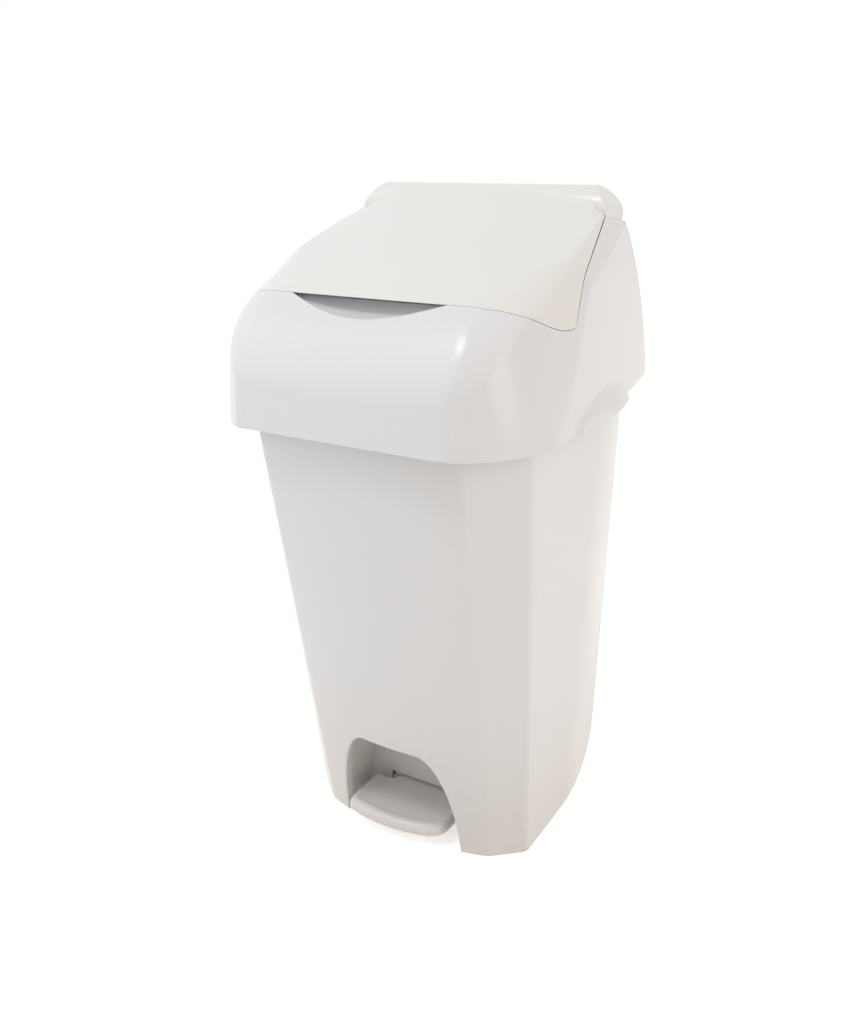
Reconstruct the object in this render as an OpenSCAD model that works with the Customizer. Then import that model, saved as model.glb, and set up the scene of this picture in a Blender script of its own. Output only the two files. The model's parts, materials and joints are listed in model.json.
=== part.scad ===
// Pedal-operated nappy bin: tapered tub, lift-off hood and a hinged flap.
// Millimetres. Origin under the middle of the overall box, +Z up,
// -Y is the front with the pedal, +X is the bin's left hand seen from behind.

/* [Tub] */
// Height of the tub's rim above the ground
tub_h = 512; // [505:1:515]
// Wall of the moulded shells
wall = 3; // [2.5:0.1:3.5]
// Gap under the tub's skirt
skirt_gap = 2; // [1:0.5:3]
// Half width between the two front creases at ground level
front_w0 = 107.4; // [100:0.2:112]
// Half width between the two front creases at the rim
front_w1 = 115.9; // [112:0.1:118]
// Half width of the sides at ground level
side_w0 = 141.6; // [136:0.2:146]
// Half width of the sides at the rim
side_w1 = 162.6; // [160:0.2:164]
// How far the front creases lie ahead of the origin at ground level
front_y0 = 110.5; // [106:0.5:114]
// How far the front creases lie ahead of the origin at the rim
front_y1 = 203.9; // [200:0.1:206]
// Depth of the corner facet at ground level
facet_d0 = 30; // [26:1:34]
// Depth of the corner facet at the rim
facet_d1 = 55; // [50:1:60]
// Bow of the front face at ground level
bow0 = 17; // [12:1:20]
// Bow of the front face at the rim
bow1 = 9; // [6:1:12]
// How far the rear wall lies behind the origin
rear_y = 198; // [194:1:202]
// How much each side draws in towards the rear at ground level
rear_in0 = 33.6; // [28:0.2:38]
// How much each side draws in towards the rear at the rim
rear_in1 = 45; // [40:1:50]
// Height of the tub's inner floor
floor_z = 60; // [58:1:66]

/* [Pedal opening] */
// Half width of the opening at the ground
arch_w = 76.5; // [72:0.5:80]
// Half width of the opening's flat top
arch_flat = 34; // [28:1:40]
// Height of the opening
arch_h = 128.5; // [120:0.5:136]
// Y of the recess's back wall
recess_y = -72; // [-76:1:-70]
// Clear height under the recess's back wall
recess_gap = 36; // [34:0.5:40]

/* [Pedal] */
// Gap beside the tread in the pedal opening, at the ground
tread_gap = 8.5; // [8:0.5:14]
// How far the tread stands out of the tub's front
tread_out = 16; // [12:0.5:18]
// Bow of the tread's front edge
tread_bow = 18; // [10:1:20]
// Thickness of the tread
tread_t = 11; // [9:0.5:12]
// Depth of the dished tread surface
dish_d = 1.6; // [1:0.1:2.5]
// Height of the pedal axle
axle_z = 24; // [23:0.5:26]
// Y of the pedal axle
axle_y = -52; // [-54:0.5:-50]
// Diameter of the pedal axle
axle_d = 8; // [6:0.5:9]
// Half distance between the axle bearings
bearing_x = 62; // [58:1:70]
// Thickness of the pedal lever
lever_t = 4; // [3:0.5:5]

/* [Push rod] */
// Diameter of the push rod
rod_d = 6; // [5:0.5:7]
// How far the push rod stands in from the end of the hinge roll
rod_inset = 20; // [19:0.5:24]
// How far in front of the hinge the rod pushes
push_arm = 20; // [19:0.5:21]
// Radius of the rod's tip
tip_r = 3; // [3:0.1:3.4]
// Radius of the rod's foot
foot_r = 5; // [4:0.5:6]
// Outer diameter of the guide tube
guide_d = 14; // [12:0.5:16]

/* [Hood] */
// How far the hood's skirt reaches down over the tub's rim
skirt_over = 15.5; // [13:0.5:18]
// How far the hood's front stands ahead of the tub's rim
front_over = 14.6; // [12:0.1:17]
// How far the hood's sides stand out beyond the tub's rim
side_over = 15.4; // [13:0.1:18]
// How far the hood's lower rear edge lies behind the tub's rim
rear_over = 29.6; // [26:0.1:34]
// Lean of the front face
front_lean = 0.073; // [0.06:0.001:0.085]
// Radius that rounds the front face into the top
lip_r = 62; // [58:1:66]
// Radius of the rounded front corners in plan
pod_r = 118.5; // [116:0.5:121]
// Radius that rounds the front corners into the top
pod_top_r = 55; // [50:1:60]
// How much each side draws in towards the rear
hood_in = 42.5; // [40:0.5:45]
// Radius of the curved rear panel
back_r = 524.9; // [524:0.1:526]
// Height of the hood's lower edge above the centre of the rear panel's curve
back_rise = 216.5; // [210:0.5:224]
// How far the finger grips stand out
grip_out = 12; // [8:0.5:14]
// Height of the finger grips
grip_h = 28; // [22:1:32]
// Half length of the finger grips
grip_l = 94; // [84:1:98]
// Play between moulded parts that meet face to face
seat_gap = 0.3; // [0.2:0.05:0.4]
// Thickness of the inner tray
tray_t = 3; // [2.5:0.1:4]

/* [Flap] */
// How far the flap's front edge lies behind the hood's front
slot_back = 55.5; // [52:0.5:60]
// Half width of the finger slot
slot_w = 85.5; // [70:0.5:90]
// How far the finger scoop reaches ahead of the flap's edge
scoop_l = 20.3; // [14:0.1:24]
// Height of the top surface at the flap's front edge above the hood's lower edge
lip_rise = 128.3; // [124:0.1:132]
// Slope of the flap on the centre line
top_slope = 0.3823; // [0.379:0.001:0.386]
// Gap round the flap
flap_gap = 1; // [0.8:0.1:1.5]
// Depth of the inner panel below the top surface
liner_depth = 20; // [18:0.5:24]

/* [Hinge] */
// Distance from the flap's front edge back to the hinge axis
flap_run = 235.5; // [232:0.5:239]
// Height of the hinge axis above the hood's lower edge
hinge_rise = 197.5; // [195:0.5:200]
// Radius of the hinge roll
roll_r = 24; // [23.5:0.1:24.5]
// How far the roll's ends lie in from the hood's widest point
roll_inset = 38; // [38:0.5:44]
// Diameter of the hinge rod
pin_d = 8; // [6:0.5:9]
// Distance between the push rod and the nearer hinge bracket's middle plane
bracket_off = 17; // [16:0.5:20]
// Thickness of the hinge brackets
bracket_t = 8; // [6:0.5:9]

/* [Fixings] */
// Shank diameter of the screws
screw_d = 4; // [3:0.5:5]
// Running clearance on a radius
run_fit = 0.05; // [0.03:0.01:0.08]
// Clearance of a screw in its hole, on the radius
screw_fit = 0.1; // [0.05:0.05:0.2]
// Thickness of the base plate
base_t = 3; // [2.5:0.5:4]
// Height of the rubber feet
foot_h = 4; // [3:0.5:5]

/* [Hidden] */
$fn = 48;
eps = 0.01;
// Sizes that follow from the ones above
hood_z = tub_h - skirt_over;
hood_front = front_y1 + bow1 + front_over;
hood_side = side_w1 + side_over;
hood_rear = rear_y + rear_over;
slot_y = slot_back - hood_front;
top_z = hood_z + lip_rise;
hinge_y = slot_y + flap_run;
hinge_z = hood_z + hinge_rise;
roll_l = hood_side - roll_inset;
rod_x = rod_inset - roll_l;
rod_y = hinge_y - push_arm;
bracket_x = -rod_x - bracket_off;
back_cz = hood_z - back_rise;
back_cy = hood_rear - sqrt(pow(back_r, 2) - pow(back_rise, 2));
reach = hood_front + hood_side;
white = [0.93, 0.93, 0.92];
cream = [0.92, 0.91, 0.89];
steel = [0.72, 0.73, 0.75];
rubber = [0.25, 0.25, 0.26];
nylon = [0.82, 0.82, 0.80];

// General helpers
function clamp01(t) = min(1, max(0, t));
function mix(a, b, t) = a + (b - a) * t;
function smooth(t) = t * t * (3 - 2 * t);
function unit(v) = v / norm(v);
// Intersection of two half spaces whose common edge is rounded to radius r
function round_cut(a, b, r) = min(-r, max(a, b)) + norm([max(a + r, 0), max(b + r, 0)]);
// Closed plan outline moved inwards by d, with mitred corners
function inset(loop, d) = [for (i = [0 : len(loop) - 1])
    let (n = len(loop), a = loop[(i + n - 1) % n], b = loop[i], c = loop[(i + 1) % n],
        e1 = unit(b - a), e2 = unit(c - b),
        n1 = [-e1[1], e1[0]], n2 = [-e2[1], e2[0]])
    b + (n1 + n2) / (1 + n1 * n2) * d];
// Faces of a closed ring of closed sections
function ring_faces(m, n) = [for (j = [0 : m - 1], i = [0 : n - 1])
    let (j2 = (j + 1) % m, i2 = (i + 1) % n)
    each [[j * n + i, j * n + i2, j2 * n + i2], [j * n + i, j2 * n + i2, j2 * n + i]]];
// Faces of a sheet: m columns of n points above, the same below, and its rim
function sheet_faces(m, n) = let (s = m * n) concat(
    [for (j = [0 : m - 2], i = [0 : n - 2])
        let (a = j * n + i, b = a + 1, c = a + n + 1, d = a + n)
        each [[a, b, c], [a, c, d], [s + a, s + c, s + b], [s + a, s + d, s + c]]],
    [for (i = [0 : n - 2]) let (a = i, b = i + 1) each [[a, s + b, b], [a, s + a, s + b]]],
    [for (i = [0 : n - 2]) let (a = (m - 1) * n + i, b = a + 1)
        each [[a, b, s + b], [a, s + b, s + a]]],
    [for (j = [0 : m - 2]) let (a = j * n, b = a + n) each [[a, b, s + b], [a, s + b, s + a]]],
    [for (j = [0 : m - 2]) let (a = j * n + n - 1, b = a + n)
        each [[a, s + b, b], [a, s + a, s + b]]]);

// Tub outline in plan: bowed front, facet at each front corner, sides that draw in to the rear
side_start = 20.5;
rear_round = 10;
function tub_half(t) = let (xa = mix(front_w0, front_w1, t), ya = -mix(front_y0, front_y1, t),
        bow = mix(bow0, bow1, t), xs = mix(side_w0, side_w1, t),
        yb = ya + mix(facet_d0, facet_d1, t), drop = mix(rear_in0, rear_in1, t),
        ye = rear_y - rear_round, xe = xs - drop)
    concat(
        [for (s = [0 : 0.25 : 1]) [xa * s, ya - bow * (1 - s * s)]],
        [[xs, yb], [xs, side_start]],
        [for (s = [0.25 : 0.15 : 1]) [xs - drop * pow(s, 1.6), mix(side_start, ye, s)]],
        [[xe - rear_round * 0.3, rear_y - rear_round * 0.3], [xe - rear_round, rear_y]],
        [[xe * 0.5, rear_y]]);
function tub_loop(z) = let (h = tub_half(z / tub_h), n = len(h))
    concat([for (i = [0 : n - 1]) h[i]], [[0, rear_y]],
        [for (i = [n - 1 : -1 : 1]) [-h[i][0], h[i][1]]]);
function at_z(loop, z) = [for (p = loop) [p[0], p[1], z]];
// The hood's and the flap's common skin, as signed distances in millimetres
pod_y = 103.5 - hood_front;
pod_out = 1.5;
pod_x = hood_side + pod_out - pod_r;
pod_lean = 0.058;
side_y0 = 86.5 - hood_front;
side_pow = 1.7;
side_lean = 3.2;
crown = 2.93e-6;
shoulder_n = unit([0.905, -0.03, 0.413]);
shoulder_p = [hood_side - 31.2, hinge_y - 37.5, hinge_z - 8.5];
fade_y = hinge_y - 83.5;
fade_l = 129;
grip_y = side_y0 + 153;
function grip_e(y) = sqrt(max(0, 1 - pow((y - grip_y) / grip_l, 2)));
function grip(y, z) = let (e = grip_e(y)) e < 0.02 ? 0
    : grip_out * e * max(0, 1 - max(0, z - hood_z) / (grip_h * e));
function side_x(y, z) = hood_side - hood_in * pow(clamp01((y - side_y0) / (hood_rear - side_y0)), side_pow)
    - side_lean * pow(max(0, z - hood_z) / 100, 1.68) + grip(y, z);
function f_top(x, y, z) = let (s = top_slope - crown * x * x)
    (z - top_z - s * (y - slot_y)) / sqrt(1 + s * s);
function f_front(y, z) = -y - hood_front + front_lean * (z - hood_z);
function f_back(y, z) = norm([y - back_cy, z - back_cz]) - back_r;
function f_pod(x, y, z) = (y < pod_y ? norm([x - pod_x, y - pod_y]) : x - pod_x)
    - pod_r + pod_lean * (z - hood_z);
function f_shoulder(x, y, z) = ([x, y, z] - shoulder_p) * shoulder_n;
function f_skin(p) = let (x = abs(p[0]), y = p[1], z = p[2], t = f_top(x, y, z),
        r = 0.5 + pod_top_r * smooth(clamp01((fade_y - y) / fade_l)))
    max(round_cut(f_front(y, z), t, lip_r),
        round_cut(f_pod(x, y, z), round_cut(f_shoulder(x, y, z), t, 0.4 * r), r),
        x - side_x(y, z), f_back(y, z));
// The flap's skin sweeps up into the hinge roll through a hollow curve, whose circle touches the
// sloping top and the roll. The roll's part in the skin fades out towards its ends.
cove_r = 40;
cove_end = roll_l - 12;
roll_fade = roll_l - 6;
sink = 0.1;
function f_lid(p) = let (x = abs(p[0]), q = [p[1], p[2]], axis = [hinge_y, hinge_z],
        s = top_slope - crown * x * x, al = atan(s), n = [-sin(al), cos(al)], t = [cos(al), sin(al)],
        r = roll_r - sink - 2 * max(0, x - roll_fade),
        h = (top_z + s * (hinge_y - slot_y) - hinge_z) * cos(al),
        plain = min(f_skin(p), norm(q - axis) - r))
    r < h + 0.2 ? plain
    : let (c = axis + n * (h + cove_r) - t * sqrt(pow(r + cove_r, 2) - pow(h + cove_r, 2)), k = c - axis)
    (q - c + n * cove_r) * t > 0 && k[0] * (q[1] - axis[1]) - k[1] * (q[0] - axis[0]) > 0
    ? cove_r - norm(q - c) : plain;
// Where a ray from c along d meets the skin moved inwards by w
function hit(c, d, w, lid = false, a = 60, b = 420, n = 17) = let (m = (a + b) / 2)
    n == 0 ? c + d * m
    : (lid ? f_lid(c + d * m) : f_skin(c + d * m)) > -w ? hit(c, d, w, lid, a, m, n - 1)
    : hit(c, d, w, lid, m, b, n - 1);
function level_hit(az, z, w) = hit([0, 0, z], [sin(az), -cos(az), 0], w);
function drop_hit(x, y, lid = false) = hit([x, y, hood_z - 196.5], [0, 0, 1], 0, lid);
hub = [0, 0, hood_z + 63.5];

function az_of(p) = atan2(p[0], -p[1]);
function el_of(p) = atan2(p[2] - hub[2], norm([p[0], p[1]]));
function polar(az, el) = [sin(az) * cos(el), -cos(az) * cos(el), sin(el)];

// Seam between hood and flap, from the middle of the front to the middle of the rear. Each entry is
// [x, y, azimuth at the lower edge, power of the path, ledge, scoop, direction of the inside].
corner_l = [62.6, 92];
seam_end = [hood_side - 7.4, slot_y + corner_l[1]];
seam_x = seam_end[0] - corner_l[0];
apex = [hood_side - 32.5, hinge_y - 23.5];
notch = [hood_side - 28, hinge_y + 20.5];
rear_x = hood_side - 30.5;
rear_edge_y = hinge_y + roll_r + flap_gap;
crease_az = atan2(pod_x + sqrt(pow(pod_r, 2) - pow(hood_front + pod_y, 2)), hood_front);
pod_az = atan2(hood_side, -side_y0);
corner_az = 180 - atan2(hood_side - hood_in, hood_rear);
crease_a = 4.6;
ridge_a = 37.5;
seam_dip = 1.8;
function seam_arc(a) = [seam_x + (seam_end[0] - seam_x) * sin(a) - seam_dip * pow(sin(4 * max(0, a - 45)), 2),
    seam_end[1] + (slot_y - seam_end[1]) * cos(a)];
front_seam = concat(
    [for (s = [0 : 0.125 : 0.9]) let (x = seam_x * s)
        [x, slot_y, crease_az * s, 3, 1, max(0, 1 - pow(x / slot_w, 2)), 0]],
    [for (a = [crease_a, 14, 25.5, ridge_a, 51, 64, 77, 90]) let (p = seam_arc(a), t = a / 90)
        [p[0], p[1], mix(crease_az, pod_az, t), mix(3, 5.5, t), pow(cos(a), 2), 0, a]]);
side_seam = concat(
    [for (s = [0.4, 1, 2, 3, 4, 5, 6]) let (p = mix(seam_end, apex, s / 6))
        [p[0], p[1], mix(pod_az, corner_az, 0.06 + s * 0.11), 1.7, 0, 0, 90]],
    [for (s = [0.5, 1]) let (p = mix(apex, notch, s))
        [p[0], p[1], mix(pod_az, corner_az, 0.72 + 0.2 * s), 1.6, 0, 0, 90 + 45 * s]],
    [for (s = [0 : 0.25 : 1]) [rear_x * (1 - s), rear_edge_y, mix(corner_az, 180, s), 1.6, 0, 0, 180]]);
half_seam = concat(front_seam, side_seam);
function mirrored(e) = [-e[0], e[1], -e[2], e[3], e[4], e[5], -e[6]];
hood_seam = concat(half_seam, [for (i = [len(half_seam) - 2 : -1 : 1]) mirrored(half_seam[i])]);
function inward(e) = [-sin(e[6]), cos(e[6]), 0];

// One closed section of the hood: up the outside, across the edge, down the inside
hood_rows = 9;
ledge_drop = 6;
ledge_l = 10;
scoop_drop = 15.6;
function on_path(e, a1, b0, b1, t, w) =
    hit(hub, polar(mix(e[2], a1, pow(t, e[3])), mix(b0, b1, t)), w);
function hood_section(e) = let (
        h = inward(e), k = e[5], lw = e[4],
        p = [e[0], e[1], 0] - h * flap_gap / 2,
        lip = drop_hit(p[0], p[1])[2],
        top = drop_hit(p[0], p[1] - scoop_l * k),
        base = level_hit(e[2], hood_z, 0),
        b0 = el_of(base), b1 = el_of(top), a1 = az_of(top),
        i3 = on_path(e, a1, b0, b1, 0.985, wall), i4 = on_path(e, a1, b0, b1, 0.94, wall),
        low = lip - ledge_drop - scoop_drop * k,
        rise = ledge_l * top_slope * (1 - k),
        m1 = [p[0], p[1] - scoop_l * k / 2, low],
        m2 = [p[0] + h[0] * ledge_l, p[1] + h[1] * ledge_l, low + rise],
        q1 = mix(top, i3, 0.33), q2 = mix(top, i3, 0.67))
    concat([base], [for (i = [1 : hood_rows - 1]) on_path(e, a1, b0, b1, i / hood_rows, 0)],
        [top, mix(q1, m1, lw), mix(q2, m2, lw), mix(i3, m2 - [0, 0, wall], lw),
            mix(i4, m1 - [0, 2, wall + 1], lw)],
        [for (i = [hood_rows - 1 : -1 : 1]) on_path(e, a1, b0, b1, (i - 0.35) / hood_rows, wall)],
        [level_hit(e[2], hood_z, wall)]);

// The flap: columns run from its front edge to the hinge roll
flap_rows = 12;
rear_run = hinge_y - 17;
side_run = apex[1];
front_n = len(front_seam);
ridge_i = front_n - 5;
function flap_end(i) = let (x = front_seam[i][0])
    i < ridge_i ? [x, mix(rear_run, side_run, clamp01((x - cove_end + 6) / 14))]
    : [apex[0] - 0.3 - 0.15 * (i - ridge_i), apex[1] - 13 + 2.5 * (i - ridge_i)];
// The gap is a little wider where the seam turns up the steep side
function flap_column(i) = let (e = front_seam[i], h = inward(e) * flap_gap * (i < front_n - 2 ? 0.5 : 1.3),
        p = [e[0] + h[0], e[1] + h[1]], q = flap_end(i))
    [for (t = [0 : flap_rows]) mix(p, q, (1 - cos(180 * t / flap_rows)) / 2)];
flap_plan = concat([for (i = [front_n - 1 : -1 : 1]) [for (p = flap_column(i)) [-p[0], p[1]]]],
    [for (i = [0 : front_n - 1]) flap_column(i)]);
flap_top = [for (c = flap_plan) [for (p = c) drop_hit(p[0], p[1], true)]];
function tail(p, r) = abs(p[0]) > cove_end - 4 ? p + [0, 0.8, -wall / 2]
    : [p[0], p[1] + 1, hinge_z + sqrt(pow(r, 2) - pow(p[1] + 1 - hinge_y, 2))];
flap_upper = [for (c = flap_top) concat(c, [tail(c[flap_rows], roll_r - 0.9)])];
flap_lower = [for (c = flap_top) let (low = [for (p = c) hit(hub, unit(p - hub), wall, true)])
    concat(low, [tail(c[flap_rows], roll_r - 2.2) - [0, 0, abs(c[0][0]) > cove_end - 4 ? 1 : 0]])];
flap_tilt = atan(top_slope);
// Height of a boss's top in the flap's own frame, inside the skin above it
function boss_top(x, y) = -crown * x * x * y - wall / 2;
liner_front = 30;
liner_rear = flap_run / cos(flap_tilt) - 56;
liner_w = seam_x + 10;
liner_t = 2.5;
liner_points = [for (y = [liner_front + 30, liner_rear - 21], s = [-1, 1]) [s * (liner_w - 38), y]];

// Pedal opening, tread and other plan outlines
tread_w = arch_w - tread_gap;
tread_front = -front_y0 - bow0 - tread_out;
function arch(d) = concat([[-arch_w - d, -10]],
    [for (a = [0 : 7.5 : 90]) [-arch_flat - (arch_w - arch_flat + d) * cos(a), (arch_h + d) * sin(a)]],
    [for (a = [90 : -7.5 : 0]) [arch_flat + (arch_w - arch_flat + d) * cos(a), (arch_h + d) * sin(a)]],
    [[arch_w + d, -10]]);
function tread_y(x) = tread_front + tread_bow * pow(x / tread_w, 2);
tread_rear = recess_y - 3;
tread_corner = 5;
tread_top = axle_z + 7;
function tread(d) = let (w = tread_w - d, yc = tread_y(tread_w) + tread_corner + d * 0.6)
    concat([for (x = [-w + tread_corner : (w - tread_corner) / 6 : w - tread_corner + eps]) [x, tread_y(x) + d]],
        [[w - tread_corner * 0.3, yc - tread_corner * 0.6], [w, yc], [w, tread_rear - d]],
        [[-w, tread_rear - d], [-w, yc], [-w + tread_corner * 0.3, yc - tread_corner * 0.6]]);
function rounded(w, d, r) = [for (q = [[1, 1, 0], [-1, 1, 90], [-1, -1, 180], [1, -1, 270]],
        a = [0 : 15 : 90]) [q[0] * (w - r) + r * cos(q[2] + a), q[1] * (d - r) + r * sin(q[2] + a)]];
lever_z = axle_z - 6;
lever_top = lever_z + lever_t;
foot_c = lever_top + seat_gap + foot_r;
lug_z = hinge_z - 12.7;
tip_c = lug_z - seat_gap - tip_r;
rod_z0 = foot_c;
rod_z1 = tip_c;
guide_top = tub_h - 12;
guide_wall = 2;
bush_l = 15;
ring_t = 2.5;
ring_w = 8;
gasket_t = 2;
gasket_z = tub_h + ring_t + seat_gap;
tray_z = gasket_z + gasket_t;
tray_top = tray_z + tray_t;
// Azimuth of each tray screw and its distance from the hood's wall
tray_fix = [[20, 6.5], [70, 6.5], [118, 20], [162, 6.5]];
block_w = 12;
block_h = 12;
block_over = 5.5;
block_root = 1.2;
tray_play = 2.6;
mouth_w = -rod_x - 14;
mouth_front = 48.9 - front_y1;
mouth_rear = hood_rear - 132.6;
mouth_d = (mouth_rear - mouth_front) / 2;
mouth_y = (mouth_rear + mouth_front) / 2;
base_z = foot_h;
base_top = base_z + base_t;
boss_points = [for (p = [[side_w0 - 36.6, 38.5 - front_y0], [side_w0 - 59.6, rear_y - 40]], s = [-1, 1])
    [s * p[0], p[1]]];
foot_screw_head = 8;
bracket_gap = 0.3;
bracket_foot = [hood_rear - 77.6, hood_rear - 25.6];
bracket_screw_y = [bracket_foot[0] + 12, bracket_foot[1] - 10];
bracket_screw_x = bracket_x - 13;
bracket_flange = bracket_x - 19;
neck_z = hinge_z - roll_r - 6;
cap_l = 4;
web_x = bracket_x - 11;
web_t = 6;
lug_x = [rod_x - 8, rod_x + 8];
lug_y = [rod_y - 6.5, rod_y + 12.5];
lug_top = hinge_z + 6;
roll_cut = 14;
// Room inside the roll, between its sloping end walls
roll_room = [for (q = [[1, -roll_r - 1, 0], [1, -2, 0], [1, roll_r + 1, roll_cut],
        [-1, roll_r + 1, roll_cut], [-1, -2, 0], [-1, -roll_r - 1, 0]])
    [q[0] * (roll_l - wall - q[2]), hinge_z + q[1]]];

// Solid between two closed loops of the same length
module loft(a, b) {
    n = len(a);
    polyhedron(concat(a, b), concat([[for (i = [0 : n - 1]) i]], [[for (i = [n - 1 : -1 : 0]) n + i]],
        [for (i = [0 : n - 1]) let (k = (i + 1) % n) each [[i, n + i, n + k], [i, n + k, k]]]));
}
module tub_solid(d, z0, z1) {
    loft(at_z(inset(tub_loop(z0), d), z0), at_z(inset(tub_loop(z1), d), z1));
}
module plate(points, z, t) {
    translate([0, 0, z])
        linear_extrude(t)
            polygon(points);
}
// Extrudes a YZ outline along X, centred on x
module along_x(x, t) {
    translate([x - t / 2, 0, 0])
        rotate([90, 0, 90])
            linear_extrude(t)
                children();
}
// Extrudes an XZ outline along Y from y0 to y1
module along_y(y0, y1) {
    translate([0, y1, 0])
        rotate([90, 0, 0])
            linear_extrude(y1 - y0)
                children();
}
module bar_x(x0, x1, y, z, r) {
    translate([x0, y, z])
        rotate([0, 90, 0])
            cylinder(r = r, h = x1 - x0);
}
module post(x, y, z, h, r) {
    translate([x, y, z])
        cylinder(r = r, h = h);
}
module ring(x, y, z, h, ro, ri) {
    difference() {
        post(x, y, z, h, ro);
        post(x, y, z - 1, h + 2, ri);
    }
}

// Tub
module tub_shell() {
    color(white)
    difference() {
        union() {
            difference() {
                tub_solid(0, skirt_gap, tub_h);
                tub_solid(wall, -10, tub_h + 10);
            }
            intersection() {
                tub_solid(wall / 2, skirt_gap, tub_h - 10);
                union() {
                    translate([-reach, -reach, floor_z - wall])
                        cube([2 * reach, 2 * reach, wall]);
                    along_y(-front_y1, recess_y + wall)
                        polygon(arch(wall));
                }
            }
            for (p = boss_points)
                post(p[0], p[1], base_top, floor_z - wall / 2 - base_top, 6);
        }
        along_y(-front_y1 - 10, recess_y)
            polygon(arch(0));
        translate([-arch_w + 4, recess_y - 1, -10])
            cube([2 * arch_w - 8, wall + 2, recess_gap + 10]);
        for (p = boss_points)
            post(p[0], p[1], base_top - 1, 20, screw_d / 2 + screw_fit);
        post(rod_x, rod_y, floor_z - wall - 1, wall + 2, rod_d / 2 + 1);
    }
}
module base_plate() {
    color(white)
    difference() {
        plate(inset(tub_loop(base_z), wall + seat_gap), base_z, base_t);
        translate([-arch_w - wall - seat_gap, -reach, base_z - 1])
            cube([2 * (arch_w + wall + seat_gap), reach + recess_y - 8, base_t + 2]);
        for (s = [-1, 1])
            translate([s * (arch_w - 0.5) - 4, recess_y - 9, base_z - 1])
                cube([8, 9 + wall + seat_gap, base_t + 2]);
        for (p = boss_points)
            post(p[0], p[1], base_z - 1, base_t + 2, screw_d / 2 + screw_fit);
    }
}
module foot(i) {
    p = boss_points[i];
    color(rubber)
    difference() {
        post(p[0], p[1], 0, foot_h, 11);
        post(p[0], p[1], -1, 3, foot_screw_head / 2 + 0.5);
        post(p[0], p[1], 0, foot_h + 1, screw_d / 2 + screw_fit);
    }
}
module foot_front_left() foot(0);
module foot_front_right() foot(1);
module foot_rear_left() foot(2);
module foot_rear_right() foot(3);
module base_screws() {
    color(steel)
    for (p = boss_points) {
        post(p[0], p[1], 0.4, 1.6, foot_screw_head / 2);
        post(p[0], p[1], 1.9, 20, screw_d / 2);
    }
}
module bag_ring() {
    rim = tub_loop(tub_h);
    low = tub_loop(tub_h - 20);
    color(white)
    union() {
        difference() {
            plate(inset(rim, 0.6), tub_h, ring_t);
            plate(inset(rim, ring_w), tub_h - 1, ring_t + 2);
        }
        difference() {
            plate(inset(low, wall + 1), tub_h - 20, 20 + ring_t / 2);
            plate(inset(low, wall + 3.5), tub_h - 21, 24);
        }
    }
}

// Pedal bearings
module bearing(s) {
    color(nylon)
    along_x(s * bearing_x, 8)
        difference() {
            union() {
                translate([axle_y - 11, base_top])
                    square([22, axle_z - base_top]);
                translate([axle_y, axle_z])
                    circle(r = 11);
            }
            translate([axle_y, axle_z])
                circle(r = axle_d / 2 + run_fit);
        }
}
module axle_bearing_left() bearing(-1);
module axle_bearing_right() bearing(1);
module pedal_axle() {
    color(steel)
    bar_x(-bearing_x - 7, bearing_x + 7, axle_y, axle_z, axle_d / 2);
}
module axle_clip(s) {
    color(steel)
    difference() {
        bar_x(s * (bearing_x + 5) - 0.7, s * (bearing_x + 5) + 0.7, axle_y, axle_z, 7);
        bar_x(s * (bearing_x + 5) - 2, s * (bearing_x + 5) + 2, axle_y, axle_z, axle_d / 2 + run_fit);
    }
}
module axle_clip_left() axle_clip(-1);
module axle_clip_right() axle_clip(1);
module pedal_buffers() {
    color(rubber)
    for (s = [-1, 1])
        post(s * (tongue_w - 8), axle_y - 15, base_top, axle_z - 10 - base_top, 5);
}

// Pedal
tongue_w = bearing_x - 12;
tongue_z = lever_top;
tongue_top = axle_z + 6;
tongue_rear = axle_y + 22;
hub_r = 8;
notch_x = 1 - tongue_w;
lever_screw_x = tongue_w - 16;
lever_screw_y = axle_y + 16.5;
module foot_pedal() {
    color(white)
    difference() {
        union() {
            plate(tread(0), tread_top - tread_t, tread_t - dish_d);
            difference() {
                plate(tread(0), tread_top - dish_d - eps, dish_d + eps);
                plate(tread(5), tread_top - dish_d - 1, dish_d + 2);
            }
            translate([-tongue_w, tread_rear - 4, tongue_z])
                cube([2 * tongue_w, tongue_rear - tread_rear + 4, tongue_top - tongue_z]);
            bar_x(-tongue_w, tongue_w, axle_y, axle_z, hub_r);
        }
        post(notch_x, tread_rear, tongue_top - 4, 20, 13);
        bar_x(-tongue_w - 1, tongue_w + 1, axle_y, axle_z, axle_d / 2 + run_fit);
        for (s = [-1, 1])
            post(s * lever_screw_x, lever_screw_y, tongue_z - 1, 6, screw_d / 2 + screw_fit);
    }
}
module pedal_lever() {
    color(steel)
    difference() {
        plate([[tongue_w - 4, axle_y + 13], [tongue_w - 4, tongue_rear], [-tongue_w - 12, tongue_rear],
            [rod_x + 9, rod_y - 7.5], [rod_x + 9, rod_y + 8.5], [rod_x - 9, rod_y + 8.5],
            [rod_x - 9, rod_y - 11.5], [-tongue_w - 26, axle_y + 13]], lever_z, lever_t);
        for (s = [-1, 1])
            post(s * lever_screw_x, lever_screw_y, lever_z - 1, lever_t + 2, screw_d / 2 + screw_fit);
    }
}
module lever_screws() {
    color(steel)
    for (s = [-1, 1]) {
        post(s * lever_screw_x, lever_screw_y, lever_z - 2, 2, 4);
        post(s * lever_screw_x, lever_screw_y, lever_z - eps, lever_t + 4, screw_d / 2);
    }
}

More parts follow.
